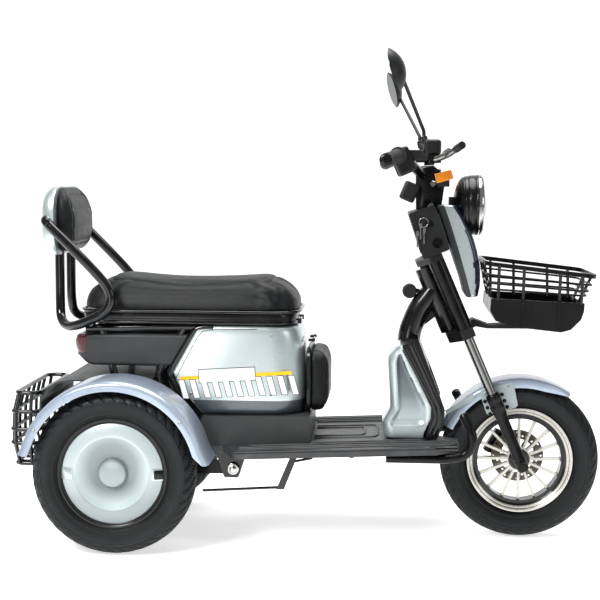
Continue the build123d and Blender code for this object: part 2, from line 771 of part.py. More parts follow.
def leg_shield_inner():
    """Bright inner leg shield facing the rider, closed round the front beam."""
    points = [(212, 500), (209, 483), (217, 356), (197, 328), (203, deck_z(203) + 5), *reversed(shield_joint)]
    return side_slab(points, shield_half_width - 12) - beam_room(clear)


def beam_room(gap):
    """The front beam, grown by a gap."""
    foot_x, foot_z = beam_foot
    middle = steer_point(0, 0, lower_yoke_level + yoke_thickness + head_tube_length * 0.65)
    return tube([middle, (292, 0, 608), (268, 0, 548), (261, 0, 430), (foot_x, 0, foot_z)],
                beam_radius + gap, 110)


def leg_shield_outer():
    """Dark outer leg shield, hollowed for the front wheel."""
    joint = [(x + clear, z) for x, z in reversed(shield_joint)]
    points = [(289, 539), (315, 472), (336, 420), (357, 364), (355, 324), (338, deck_z(338) + 5), *joint]
    body = side_slab(points, shield_half_width)
    return body - leg(wheel_well_radius - 8, -100, 330, 0, 0) - beam_room(clear)


def seat_box():
    """Bright hollow body under the seat, open at the top, with a rounded front."""
    points = [(-290, 548), (-104, 556), (-96, 570), (-34, 570), (-10, 556), (0, 524), (8, 356), (4, 340),
              (-268, 336), (-300, 376), (-332, 415), (-345, 449)]
    face = fillet(outline(points).vertices(), 6)
    body = extrude(Plane.XZ * face, box_half_width, both=True)
    cavity = extrude(Plane.XZ * offset(face, -wall), box_half_width - wall, both=True)
    mouth = side_slab([(-276, 538), (-54, 546), (-54, 640), (-276, 640)], box_half_width - wall)
    return body - cavity - mouth


def seat_box_base():
    """Dark lower body round the battery, standing on the floor."""
    low = [(-298, deck_z(-298) + clear), (12, deck_z(12) + clear), (12, 340 - clear), (-268, 336 - clear)]
    return side_slab(low, box_half_width + 8, 5)


def fender_under(x):
    """The height of a rear fender's underside at x."""
    radius = rear_fender_radius - fender_skin
    return axle_z + (radius ** 2 - (x - rear_axle_x) ** 2) ** 0.5


def seat_frame():
    """Seat rails with their struts, posts and cross tubes, and the upper mounts of the shocks."""
    rail = rod((-575, rail_y, 557), (-112, rail_y, 570), rail_radius)
    strut = tube([(-318, rail_y, 562), (-386, rail_y, 450), (-386, rail_y, 300)], 10, 30)
    shock_mount = block((-494, -464), (rail_y - 9, shock_y + 15), (shock_top, shock_top + 12))
    crossbars = [along_y(-560, 554, -rail_y, rail_y, 8), along_y(-386, 312, -rail_y, rail_y, 9)]
    posts = rod((-126, rail_y, 566), (-126, rail_y, 346), 8)
    tabs = [along_y(x, 575, rail_y, armrest_y - armrest_radius - clear, 8) for x in (-571, -556)]
    carriers = [block((x - 6, x + 6), (rail_y, rear_fender_inner + 40), (fender_under(x + side_step) - 9,
                                                                      fender_under(x + side_step) - clear))
                for x, side_step in ((rear_axle_x - 24, -6), (rear_axle_x + 86, 6))]
    side = rail + strut + rear_post_tube(10) + shock_mount + tabs + carriers + posts
    return side + mirrored(side) + crossbars


def rear_post_tube(radius):
    """Post from the seat rail down and forward to the foot of the strut."""
    return tube([(-532, rail_y, 556), (-500, rail_y, 430), (-386, rail_y, 335)], radius, 40)


tail_half_width = rail_y - rail_radius - 3
tail_outline = [(-600, 530), (-590, 545.5), (-298, 545.5), (-352, 462), (-575, 466), (-602, 490)]


def tail_panel():
    """Dark closed body behind the bright one, rounded at its rear."""
    return side_slab(tail_outline, tail_half_width, 8)


def tail_lamp():
    """Red lamp across the rear of the tail panel."""
    points = [(-613, 537), (-604, 545), (-594, 540), (-594, 494), (-612, 498)]
    return side_slab(points, 82) - Pos(-clear, 0, 0) * side_slab(tail_outline, 90, 8)


def rear_fender():
    """Curved mudguard over a rear tyre: flat top, outer lip and a flared front toe."""
    outer, inner = rear_fender_radius, rear_fender_radius - fender_skin
    low, high = rear_fender_inner, rear_fender_outer
    section = [(outer, low), (outer, high - 8), (outer - 6, high), (212, high), (212, high - 4),
               (inner - 4, high - 4), (inner, high - 9), (inner, low)]
    skin = arc_y(rear_axle_x, axle_z, section, 14, 168)
    top_x, top_z = on_wheel(rear_axle_x, axle_z, outer, 17)
    under_x, under_z = on_wheel(rear_axle_x, axle_z, inner, 15)
    toe = side_plate([(top_x, top_z), (top_x + 18, top_z - 16), (top_x + 34, top_z - 26),
                      (top_x + 28, top_z - 30), (under_x + 4, under_z - 6), (under_x, under_z)], low, high)
    return skin + toe


def rear_cover():
    """Dark cover between the rear fenders, sloping down at the back."""
    top = [(-690, 330), (-688, 372), (-668, 406), (-640, 424), (-600, 430), (-400, 432)]
    lower = [(-400, 427), (-602, 425), (-637, 419), (-663, 402), (-683, 370), (-685, 330)]
    cover = side_slab(top + lower, rear_fender_inner - clear)
    post = rear_post_tube(10 + clear)
    return cover - post - mirrored(post)


def shock():
    """Spring and damper between the axle housing and the seat frame."""
    low, high = (-488, shock_y, axle_z + 31), (-476, shock_y, shock_top - 1)
    damper = rod(low, high, 9)
    spring = rod((-487, shock_y, 266), (-478, shock_y, 392), 19)
    return damper + spring


def armrest():
    """Bent tube from the backrest's side down, round the elbow and up again behind."""
    y = armrest_y
    return tube([(-670, y, 840), (-522, y, 690), (-500, y, 640), (-524, y, 602), (-604, y, 562),
                 (-634, y, 600), (-635, y, 772)], armrest_radius, 36)


def backrest_shell():
    """Curved back plate of the backrest."""
    points = [(-690, 766), (-690, 898), (-676, 926), (backrest_joint, 926), (backrest_joint, 748),
              (-676, 748)]
    body = fillet(side_slab(points, backrest_half_width).edges().filter_by(Axis.X), 26)
    boss = along_y(-664, 833, backrest_half_width - 3, armrest_y - armrest_radius - clear, 8)
    return body + boss + mirrored(boss)


def backrest_cushion():
    """Padded front of the backrest, bulging towards the rider."""
    rear = backrest_joint + clear
    points = [(rear, 760), (rear, 918), (-642, 916), (-624, 896), (-608, 858), (-604, 814), (-610, 778),
              (-624, 760)]
    body = side_slab(points, backrest_half_width - 4)
    return fillet(body.edges().filter_by(Axis.X), 26)


rear_basket_depth = 73.5
# Height and depth of each ring.
basket_levels = [(391, rear_basket_depth - 14), (341, rear_basket_depth - 2), (294, rear_basket_depth),
                 (258, rear_basket_depth), (204, rear_basket_depth - 10)]
rear_basket_x = -694
rear_basket_half_width = 160


def wire_ring(z, depth):
    """A rounded rectangular ring of wire at a height."""
    plan = RectangleRounded(depth, 2 * rear_basket_half_width, 20)
    route = (Pos(rear_basket_x - depth / 2, 0, z) * plan).wire()
    return sweep(Plane(origin=route @ 0, z_dir=route % 0) * Circle(wire_radius), route)


def wire_upright(side, share):
    """An upright through the rings: side 0 is the back of the basket, 1 and -1 are its ends."""
    points = []
    for z, depth in basket_levels:
        x_low = rear_basket_x - depth
        if side:
            points.append((rear_basket_x - depth * share, side * rear_basket_half_width, z))
        else:
            points.append((x_low, rear_basket_half_width * share, z))
    return tube(points, wire_radius - 1, 4)


def rear_basket():
    """Wire basket behind the rear cover: rings, uprights and a slatted floor."""
    made = wire_ring(*basket_levels[0])
    for z, depth in basket_levels[1:]:
        made = made + wire_ring(z, depth)
    uprights = [wire_upright(0, share) for share in (-0.8, -0.48, -0.16, 0.16, 0.48, 0.8)]
    uprights += [wire_upright(side, share) for side in (-1, 1) for share in (0.25, 0.7)]
    z, depth = basket_levels[-1]
    floor = [rod((rear_basket_x, rear_basket_half_width * share, z),
                 (rear_basket_x - depth, rear_basket_half_width * share, z), wire_radius - 1)
             for share in (-0.8, -0.48, -0.16, 0.16, 0.48, 0.8)]
    lowest, highest = basket_levels[-1][0], basket_levels[0][0]
    front = [rod((rear_basket_x, y, lowest), (rear_basket_x, y, highest), wire_radius - 1)
             for y in (-120, -60, 0, 60, 120)]
    tabs = [block((rear_basket_x - 1, -690.1), (y - 10, y + 10), (331, 341)) for y in (-90, 90)]
    return made + uprights + floor + front + tabs


def seat_plan(inset):
    """The seat's outline from above, made smaller all round."""
    plan = RectangleRounded(seat_front - seat_rear - 2 * inset, 2 * (seat_half_width - inset),
                            seat_corner - inset)
    return Pos((seat_front + seat_rear) / 2, 0, 0) * plan


def seat_cushion():
    """Long padded seat, rounded at both ends."""
    height = seat_top - seat_bottom - clear
    body = Pos(0, 0, seat_bottom + clear) * extrude(seat_plan(0), height)
    return fillet(body.edges().group_by(Axis.Z)[-1], 16)


def seat_pan():
    """Stiff tray under the cushion, with a skirt beside the rails, hinge knuckle and rear buffers."""
    under = seat_bottom - pan_thickness
    tray = Pos(0, 0, under) * extrude(seat_plan(1), pan_thickness)
    skirt = Pos(0, 0, under - 20) * extrude(seat_plan(1) - seat_plan(4.5), 21)
    skirt = skirt - block((-700, -505), (-200, 200), (500, under)) - block((-108, 0), (-200, 200), (500, 576))
    skirt = skirt - block((-60, 0), (-66, 66), (500, under))
    buffers = [block((-510, -480), (y - 12, y + 12), (seat_rail_top + clear, under + 1))
               for y in (-rail_y, rail_y)]
    return tray + skirt + seat_knuckle() + buffers


# ---- Folding child's seat ------------------------------------------------------------------
child_hinge_x, child_hinge_z = 14, 526
child_half_width = 108
child_height = 188
child_pad_depth = 31


def child_pad():
    """Padded seat that hangs against the front of the body and swings up on its top edge."""
    x_low, x_high = child_hinge_x + 6, child_hinge_x + 6 + child_pad_depth
    top, low = child_hinge_z - 24, child_hinge_z - child_height
    points = [(x_low, top), (x_high - 13, top), (x_high - 4, top - 6), (x_high, top - 18), (x_high, low + 22),
              (x_high - 5, low + 6), (x_high - 14, low), (x_low, low)]
    return fillet(side_slab(points, child_half_width).edges().filter_by(Axis.X), 24)


def child_plate():
    """Thin plate under the folding seat, with its hinge knuckle and wire leg."""
    x_low = child_hinge_x + 1
    plate = block((x_low, x_low + 5 - clear), (4 - child_half_width, child_half_width - 4),
                  (child_hinge_z - child_height - 4, child_hinge_z - 7))
    knuckle = along_y(child_hinge_x, child_hinge_z, -34, 34, hinge_radius)
    web = block((x_low, x_low + 5 - clear), (-34, 34), (child_hinge_z - 8, child_hinge_z))
    return plate + knuckle + web - along_y(child_hinge_x, child_hinge_z, -60, 60, 2.5 + clear)


def child_hinge():
    """Hinge leaves on the front of the body, with the pin of the folding seat."""
    pin = along_y(child_hinge_x, child_hinge_z, -48, 48, 2.5)
    knuckle = along_y(child_hinge_x, child_hinge_z, 34 + clear, 48, hinge_radius)
    leaf = block((0.45, child_hinge_x), (34 + clear, 48), (child_hinge_z - 4, child_hinge_z + 3))
    return pin + knuckle + leaf + mirrored(knuckle + leaf)


seat_hinge_x, seat_hinge_z = -22, 578


def seat_hinge():
    """Hinge bracket for the seat, standing on the top of the bright body."""
    pin = along_y(seat_hinge_x, seat_hinge_z, -60, 60, 3)
    ear = block((seat_hinge_x - 24, seat_hinge_x + 5), (44 + clear, 58), (570 + clear, seat_hinge_z + 5))
    return pin + ear + mirrored(ear)


def seat_knuckle():
    """Knuckle under the front of the seat's pan."""
    barrel = along_y(seat_hinge_x, seat_hinge_z, -44, 44, hinge_radius)
    web = block((seat_hinge_x - hinge_radius, seat_hinge_x + hinge_radius), (-44, 44),
                (seat_hinge_z, seat_bottom - pan_thickness + 1))
    return barrel + web - along_y(seat_hinge_x, seat_hinge_z, -60, 60, 3 + clear)


def relay_lever():
    """Parking brake relay lever and its rods under the floor."""
    top = deck_z(relay_x) - floor_skin - clear - floor_rail_radius - 13 - clear
    lever = side_plate([(relay_x - 9, top), (relay_x + 9, top), (-56, 142), (-76, 142)], -128, -120)
    return lever + rod((-65, -124, 147), (-270, -124, 134), 3.5) + rod((-30, -124, 216), (18, -124, 226), 3.5)


def horn():
    """Round horn behind the front beam."""
    x, z = 266, 655
    made = along_y(x, z, -16, 16, 19) + rod((x, 0, z), (x + 60, 0, z), 6)
    return made - beam_room(clear) - head_tube_room(clear)


NODES = {
    "front_tyre": lambda: tyre(front_axle_x, 0, tyre_width),
    "front_rim": front_rim,
    "brake_disc": brake_disc,
    "rear_tyre_left": lambda: tyre(rear_axle_x, track / 2, rear_tyre_width),
    "rear_tyre_right": lambda: tyre(rear_axle_x, -track / 2, rear_tyre_width),
    "rear_rim_left": lambda: rear_rim(1),
    "rear_rim_right": lambda: rear_rim(-1),
    "wheel_cap_left": lambda: wheel_cap(1),
    "wheel_cap_right": lambda: wheel_cap(-1),
    "steering_stem": steering_stem,
    "fork_covers": lambda: pair(fork_cover()),
    "fork_tubes": lambda: pair(stanchion()),
    "fork_lowers": lambda: pair(fork_lower()),
    "front_axle": front_axle,
    "brake_caliper": brake_caliper,
    "front_fender": front_fender,
    "handlebar": handlebar,
    "grips": lambda: pair(grip()),
    "switch_housings": lambda: pair(switch_housing()),
    "brake_levers": lambda: pair(brake_lever()),
    "mirrors": lambda: pair(mirror_shell() + mirror_stem()),
    "mirror_glasses": lambda: pair(mirror_glass()),
    "instrument_box": instrument_box,
    "headlight_bowl": headlight_bowl,
    "headlight_lens": headlight_lens,
    "front_fairing": front_fairing,
    "fairing_trim": lambda: pair(fairing_trim()),
    "ignition_cover": ignition_cover,
    "ignition_lock": ignition_lock,
    "turn_signals": lambda: pair(turn_signal()),
    "front_basket": front_basket,
    "main_frame": main_frame,
    "swing_arm": swing_arm,
    "rear_axle": rear_axle,
    "shocks": lambda: pair(shock()),
    "floor_deck": floor_deck,
    "side_guards": lambda: pair(side_guard()),
    "leg_shield_inner": leg_shield_inner,
    "leg_shield_outer": leg_shield_outer,
    "seat_box": seat_box,
    "seat_box_base": seat_box_base,
    "seat_frame": seat_frame,
    "tail_panel": tail_panel,
    "tail_lamp": tail_lamp,
    "fender_left": rear_fender,
    "fender_right": lambda: mirrored(rear_fender()),
    "rear_cover": rear_cover,
    "armrest_left": armrest,
    "armrest_right": lambda: mirrored(armrest()),
    "backrest_shell": backrest_shell,
    "backrest_cushion": backrest_cushion,
    "rear_basket": rear_basket,
    "relay_lever": relay_lever,
    "horn": horn,
    "hinge_brackets": lambda: Compound(children=[seat_hinge(), child_hinge()]),
    "child_pad": child_pad,
    "child_plate": child_plate,
    "seat_cushion": seat_cushion,
    "seat_pan": seat_pan,
}

if __name__ == "__main__":
    os.makedirs("parts", exist_ok=True)
    for node, make in NODES.items():
        export_step(make(), f"parts/{node}.step")
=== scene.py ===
import math
import bmesh
import bpy
from mathutils import Matrix, Vector


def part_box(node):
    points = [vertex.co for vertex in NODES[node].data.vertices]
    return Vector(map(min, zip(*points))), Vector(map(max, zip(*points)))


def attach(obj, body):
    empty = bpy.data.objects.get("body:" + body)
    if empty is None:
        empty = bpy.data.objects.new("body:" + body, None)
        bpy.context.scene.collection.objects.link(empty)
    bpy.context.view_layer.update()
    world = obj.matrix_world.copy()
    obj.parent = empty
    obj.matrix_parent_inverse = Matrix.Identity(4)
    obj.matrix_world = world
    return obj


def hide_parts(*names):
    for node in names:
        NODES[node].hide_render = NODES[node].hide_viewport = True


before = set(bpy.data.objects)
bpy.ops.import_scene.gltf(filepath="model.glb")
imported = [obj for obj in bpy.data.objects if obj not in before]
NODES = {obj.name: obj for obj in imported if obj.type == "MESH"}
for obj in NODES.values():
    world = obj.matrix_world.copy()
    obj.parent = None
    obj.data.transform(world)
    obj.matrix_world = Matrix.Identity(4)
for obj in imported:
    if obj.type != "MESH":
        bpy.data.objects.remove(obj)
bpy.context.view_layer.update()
SIDES = ((-1, "right"), (1, "left"))

# Places that the pieces share, in metres: the wheels' axles, the rear track and the seat body's flank.
FRONT_AXLE_X, REAR_AXLE_X, AXLE_Z = 0.562, -0.476, 0.210
HALF_TRACK, FLANK = 0.250, 0.140


# ---- Colour and node helpers ----------------------------------------------------------------
def linear(code):
    """An sRGB hex colour as the linear values that a shader takes."""
    parts = [int(code[i:i + 2], 16) / 255 for i in (0, 2, 4)]
    return [p / 12.92 if p <= 0.04045 else ((p + 0.055) / 1.055) ** 2.4 for p in parts] + [1.0]


def add(tree, kind, values=(), links=(), **settings):
    """One node with its settings, its socket values and its incoming links."""
    made = tree.nodes.new(kind)
    for name, value in settings.items():
        setattr(made, name, value)
    for socket, value in dict(values).items():
        made.inputs[socket].default_value = value
    for socket, source in dict(links).items():
        tree.links.new(source, made.inputs[socket])
    return made


def finish_of(name, **shader):
    """A new material, its node tree, its shader and its Object coordinates."""
    made = bpy.data.materials.new(name)
    made.use_nodes = True
    tree = made.node_tree
    bsdf = tree.nodes["Principled BSDF"]
    for socket, value in shader.items():
        bsdf.inputs[socket.replace("_", " ")].default_value = value
    return made, tree, bsdf, add(tree, "ShaderNodeTexCoord").outputs["Object"]


def ramp(tree, factor, *stops):
    """A colour ramp whose stops are (place, value): a hex colour, or a number for a grey level."""
    made = add(tree, "ShaderNodeValToRGB", links={"Fac": factor})
    marks = made.color_ramp.elements
    while len(marks) < len(stops):
        marks.new(0.5)
    for mark, (place, value) in zip(marks, stops):
        mark.position = place
        mark.color = linear(value) if isinstance(value, str) else (value, value, value, 1)
    return made.outputs["Color"]


def grain(tree, place, scale, detail=3.0):
    """Noise at a scale: 1000 / scale is about its grain in millimetres."""
    return add(tree, "ShaderNodeTexNoise", {"Scale": scale, "Detail": detail}, {"Vector": place}).outputs[0]


def pebbles(tree, place, scale):
    """Rounded cells at a scale, the height of a leather-like grain."""
    return add(tree, "ShaderNodeTexVoronoi", {"Scale": scale}, {"Vector": place}).outputs[0]


def waves(tree, place, direction, scale, distortion=0.0):
    """Even waves along a direction, 0.314 / scale metres apart."""
    return add(tree, "ShaderNodeTexWave", {"Scale": scale, "Distortion": distortion}, {"Vector": place},
               bands_direction=direction).outputs["Fac"]


def along_axis(tree, place, axis):
    """One coordinate of a point."""
    return add(tree, "ShaderNodeSeparateXYZ", links={0: place}).outputs[axis]


def figure(tree, operation, *terms):
    """A math node on terms that are numbers or sockets."""
    numbers = {i: term for i, term in enumerate(terms) if isinstance(term, (int, float))}
    sockets = {i: term for i, term in enumerate(terms) if i not in numbers}
    return add(tree, "ShaderNodeMath", numbers, sockets, operation=operation).outputs[0]


def spanned(tree, value, low, high, start=0.0, end=1.0, **settings):
    """A value carried over from the span low to high to the span start to end."""
    ends = {"From Min": low, "From Max": high, "To Min": start, "To Max": end}
    return add(tree, "ShaderNodeMapRange", ends, {"Value": value}, **settings).outputs[0]


def blended(tree, factor, a, b):
    """Two colours mixed by a factor, each a hex code or a socket."""
    codes = {label: linear(each) for label, each in (("A", a), ("B", b)) if isinstance(each, str)}
    sockets = {label: each for label, each in (("Factor", factor), ("A", a), ("B", b)) if label not in codes}
    return add(tree, "ShaderNodeMix", codes, sockets, data_type="RGBA").outputs["Result"]


def shade(tree, bsdf, factor, colours, roughs):
    """A shader's colour and roughness by one factor, from the stops of two ramps."""
    tree.links.new(ramp(tree, factor, *colours), bsdf.inputs["Base Color"])
    tree.links.new(ramp(tree, factor, *roughs), bsdf.inputs["Roughness"])

def relief(tree, bsdf, *layers):
    """Bumps on a shader, one after another: each layer is (height, strength, depth in metres)."""
    last = None
    for height, strength, depth in layers:
        links = {"Height": height}
        if last:
            links["Normal"] = last
        last = add(tree, "ShaderNodeBump", {"Strength": strength, "Distance": depth}, links).outputs["Normal"]
    tree.links.new(last, bsdf.inputs["Normal"])


def axle_distance(tree, place, axle_x):
    """The distance of a point from an axle that runs across the vehicle, in metres."""
    apart = add(tree, "ShaderNodeVectorMath", {1: (axle_x, 0, AXLE_Z)}, {0: place},
                operation="SUBTRACT").outputs[0]
    flat = add(tree, "ShaderNodeVectorMath", {1: (1, 0, 1)}, {0: apart}, operation="MULTIPLY").outputs[0]
    return add(tree, "ShaderNodeVectorMath", links={0: flat}, operation="LENGTH").outputs["Value"]


# ---- Finishes -------------------------------------------------------------------------------
def lacquer(name, metallic, coat, haze, rough, colour):
    """Metallic lacquer: aluminium flakes under clear coat and faint orange peel, tinted by colour()."""
    made, tree, bsdf, place = finish_of(name, Metallic=metallic, Coat_Weight=coat, Coat_Roughness=haze)
    flakes = grain(tree, place, 900, 2)  # flakes drawn about 1 mm across, coarser than real ones
    tree.links.new(colour(tree, place, flakes), bsdf.inputs["Base Color"])
    tree.links.new(ramp(tree, flakes, (0.3, rough), (0.75, rough + 0.14)), bsdf.inputs["Roughness"])
    relief(tree, bsdf, (grain(tree, place, 160, 1), 0.06, 0.0006))
    return made


def panel_lacquer(name, pale, deep, metallic):
    """Lacquer on moulded panels, a little cloudy between its pale and its deep tone."""
    def colour(tree, place, flakes):
        mixed = figure(tree, "MULTIPLY_ADD", flakes, 0.5, grain(tree, place, 5, 2))
        return ramp(tree, mixed, (0.55, deep), (0.95, pale))
    return lacquer(name, metallic, coat=0.7, haze=0.06, rough=0.26, colour=colour)


def shield_shaded_lacquer():
    """Silver lacquer on the leg shield's recessed face, with painted shade that darkens it towards its top.
    """
    def colour(tree, place, flakes):
        height = figure(tree, "MULTIPLY_ADD", flakes, 0.02, along_axis(tree, place, "Z"))
        # painted shade: pale low on the face, darker towards its top
        return ramp(tree, spanned(tree, height, 0.35, 0.48), (0.0, "BBC7C8"), (0.45, "747F82"),
                    (1.0, "4F595C"))
    return lacquer("shield_shaded_lacquer", 0.35, coat=0.6, haze=0.07, rough=0.28, colour=colour)


def cap_shaded_lacquer():
    """Silver lacquer on the wheel caps, with painted light and shade: the dish darker round the hub and
    towards its top, the ring pale at its top and darker at its bottom.
    """
    def colour(tree, place, _):
        reach = axle_distance(tree, place, REAR_AXLE_X)
        # painted light from above: this runs from the cap's top to its bottom
        spread = spanned(tree, along_axis(tree, place, "Z"), AXLE_Z + 0.09, AXLE_Z - 0.07, -0.16, 0.20)
        level = figure(tree, "ADD", spanned(tree, reach, 0.0, 0.100), spread)
        # painted shade in the dish: darkest round the hub and at the dish's top, lighter at its bottom
        dish = ramp(tree, level, (0.25, "6B7474"), (0.62, "7E8888"), (0.95, "B2BFBE"))
        # painted light on the ring: pale at its top, darker at its bottom
        ring = ramp(tree, spread, (0.0, "B4C0C1"), (0.2, "8E9798"))
        ringed = blended(tree, spanned(tree, reach, 0.0925, 0.0935), dish, ring)
        return blended(tree, spanned(tree, reach, 0.0345, 0.0355), "919B9B", ringed)
    return lacquer("cap_shaded_lacquer", 0.2, coat=0.6, haze=0.07, rough=0.28, colour=colour)


def enamel(name, code, rough, shine=0.36, coat=0.35):
    """Glossy black stoving enamel on steel tube: wet shine with a little orange peel and dust."""
    made, tree, bsdf, place = finish_of(name, Specular_IOR_Level=shine, Coat_Weight=coat, Coat_Roughness=0.05)
    shade(tree, bsdf, grain(tree, place, 40, 6), [(0.35, code), (0.8, "151516")],
          [(0.3, rough), (0.8, rough + 0.16)])
    relief(tree, bsdf, (grain(tree, place, 220, 2), 0.08, 0.0005))
    return made


def moulded(name, code, worn, rough, pebble=420, depth=0.0004):
    """Injection-moulded ABS or polypropylene with a fine leather-like pebble that scatters the light."""
    made, tree, bsdf, place = finish_of(name, Coat_Weight=0.04, Specular_IOR_Level=0.36)
    shade(tree, bsdf, grain(tree, place, 14, 5), [(0.3, code), (0.75, worn)],
          [(0.3, rough), (0.8, rough + 0.14)])
    relief(tree, bsdf, (pebbles(tree, place, pebble), 0.35, depth))
    return made


def polished(name, code, rough):
    """Plated or polished metal: near-mirror shine with faint hairlines."""
    made, tree, bsdf, place = finish_of(name, Metallic=1.0)
    lines = grain(tree, place, 300, 6)
    shade(tree, bsdf, lines, [(0.3, code), (0.85, "8E8E8C")], [(0.35, rough), (0.8, rough + 0.12)])
    relief(tree, bsdf, (lines, 0.05, 0.0003))
    return made


def leather(name, code, worn):
    """Black vinyl upholstery leather: creased pebble about 2 mm across and a soft sheen on the crown."""
    made, tree, bsdf, place = finish_of(name, Specular_IOR_Level=0.22, Sheen_Weight=0.01, Sheen_Roughness=0.4)
    creases = grain(tree, place, 60, 8)
    shade(tree, bsdf, creases, [(0.35, code), (0.75, worn)], [(0.3, 0.36), (0.75, 0.52)])
    relief(tree, bsdf, (pebbles(tree, place, 520), 0.45, 0.0006), (creases, 0.25, 0.0012))
    return made


def tyre_rubber(name, axle_x):
    """Vulcanised tyre rubber: charcoal, dull, with road dust, and rings of painted light and shade round the
    sidewall.
    """
    made, tree, bsdf, place = finish_of(name, Specular_IOR_Level=0.26)
    bloom = grain(tree, place, 22, 7)
    dusty = ramp(tree, bloom, (0.3, "171A1B"), (0.62, "212526"), (0.85, "363B3C"))
    wall = spanned(tree, axle_distance(tree, place, axle_x), 0.130, 0.210)
    # painted light and shade in rings round the sidewall: near black by the bead for the rim's shadow, a
    # painted sheen across the middle, painted highlights on the ridges and painted shade in the grooves
    rings = ramp(tree, wall, (0.0, 0.0), (0.24, 0.0), (0.28, 0.6), (0.31, 0.2), (0.40, 0.35), (0.56, 0.75),
                 (0.615, 0.5), (0.63, 0.0), (0.645, 1.0), (0.67, 1.0), (0.68, 0.05), (0.72, 0.5), (1.0, 0.35))
    tree.links.new(blended(tree, rings, "060707", dusty), bsdf.inputs["Base Color"])
    tree.links.new(ramp(tree, bloom, (0.3, 0.42), (0.8, 0.68)), bsdf.inputs["Roughness"])
    relief(tree, bsdf, (grain(tree, place, 700, 3), 0.25, 0.0004))
    return made


def banded_casting():
    """Cast aluminium wheel, champagne lacquered, with black bands painted at its hub and inside its rim, and
    a thin ring of painted shade in a groove near its rim.
    """
    made, tree, bsdf, place = finish_of("cast_wheel", Metallic=0.5, Coat_Weight=0.4, Coat_Roughness=0.08)
    sand = grain(tree, place, 380, 4)
    bright = ramp(tree, sand, (0.3, "C3C0B6"), (0.75, "CFCCC3"))
    span = spanned(tree, axle_distance(tree, place, FRONT_AXLE_X), 0.020, 0.140)
    # black paint at the hub and in a band inside the rim; the thin dark ring at about 130 mm is painted shade
    # in a groove
    painted = ramp(tree, span, (0.0, 1.0), (0.06, 1.0), (0.08, 0.0), (0.735, 0.0), (0.745, 1.0), (0.862, 1.0),
                   (0.872, 0.0), (0.915, 0.0), (0.919, 1.0), (0.927, 1.0), (0.931, 0.0))
    tree.links.new(blended(tree, painted, bright, "101011"), bsdf.inputs["Base Color"])
    tree.links.new(ramp(tree, sand, (0.3, 0.26), (0.8, 0.32)), bsdf.inputs["Roughness"])
    relief(tree, bsdf, (sand, 0.05, 0.0003))
    return made


def turned_steel():
    """Ground stainless brake disc: fine rings of turning marks and a dull brown heat tint."""
    made, tree, bsdf, place = finish_of("turned_steel", Metallic=0.9)
    rings = figure(tree, "MULTIPLY", axle_distance(tree, place, FRONT_AXLE_X), 3800)
    shade(tree, bsdf, grain(tree, place, 30, 4), [(0.3, "57534B"), (0.7, "77726A")],
          [(0.3, 0.3), (0.7, 0.45)])
    relief(tree, bsdf, (figure(tree, "SINE", rings), 0.15, 0.0002))
    return made


def lens(name, code, deep):
    """Moulded acrylic signal lens: clear gloss over fine upright prisms."""
    made, tree, bsdf, place = finish_of(name, IOR=1.49, Roughness=0.12, Coat_Weight=0.8, Coat_Roughness=0.03,
                                        Subsurface_Weight=0.2, Subsurface_Radius=(0.01, 0.005, 0.002))
    prisms = waves(tree, place, "X", 95.24)
    tree.links.new(ramp(tree, prisms, (0.1, deep), (0.7, code)), bsdf.inputs["Base Color"])
    relief(tree, bsdf, (prisms, 0.5, 0.0012))
    return made


def clear_glass():
    """Pressed headlamp glass: grey-clear gloss with upright flutes."""
    made, tree, bsdf, place = finish_of("lamp_glass", IOR=1.5, Roughness=0.04, Metallic=0.2, Coat_Weight=0.8)
    flutes = waves(tree, place, "Y", 20.0, 0.3)
    tree.links.new(ramp(tree, flutes, (0.2, "83898B"), (0.8, "C4C9C9")), bsdf.inputs["Base Color"])
    relief(tree, bsdf, (flutes, 0.5, 0.002))
    return made


def mirror_silver():
    """Mirror glass darkened with a painted reflection of a dark surround, with a few fine specks."""
    made, tree, bsdf, place = finish_of("mirror_silver", Metallic=1.0)
    shade(tree, bsdf, grain(tree, place, 260, 6), [(0.5, "303436"), (0.9, "24282A")],
          [(0.6, 0.01), (0.9, 0.12)])
    return made


def ribbed_rubber():
    """Moulded grip rubber, with rings 4 mm apart along the bar."""
    made, tree, bsdf, place = finish_of("grip_rubber", Specular_IOR_Level=0.4)
    dust = grain(tree, place, 70, 5)
    shade(tree, bsdf, dust, [(0.3, "1B1C1C"), (0.8, "343535")], [(0.3, 0.5), (0.8, 0.7)])
    relief(tree, bsdf, (waves(tree, place, "Y", 80.0), 0.9, 0.0015), (dust, 0.2, 0.0005))
    return made


def floor_mat():
    """Ribbed black rubber-modified floor moulding: grooves along the vehicle, scuffed grey on top."""
    groove_pitch = 0.022
    made, tree, bsdf, place = finish_of("floor_moulding", Coat_Weight=0.1)
    wave = figure(tree, "MULTIPLY", along_axis(tree, place, "Y"), 2 * math.pi / groove_pitch)
    ribs = spanned(tree, figure(tree, "SINE", wave), 0.2, 0.6)
    shade(tree, bsdf, grain(tree, place, 26, 8), [(0.35, "292A2B"), (0.62, "393A3B"), (0.85, "585959")],
          [(0.3, 0.34), (0.8, 0.58)])
    relief(tree, bsdf, (pebbles(tree, place, 500), 0.3, 0.0004), (ribs, 0.4, 0.0014))
    return made


CAP = cap_shaded_lacquer()
SILVER = panel_lacquer("silver_lacquer", "D3DEDB", "B4C0C0", metallic=0.7)
PALE_SILVER = panel_lacquer("pale_silver_lacquer", "AEBABA", "96A2A2", metallic=0.25)
SHIELD = shield_shaded_lacquer()
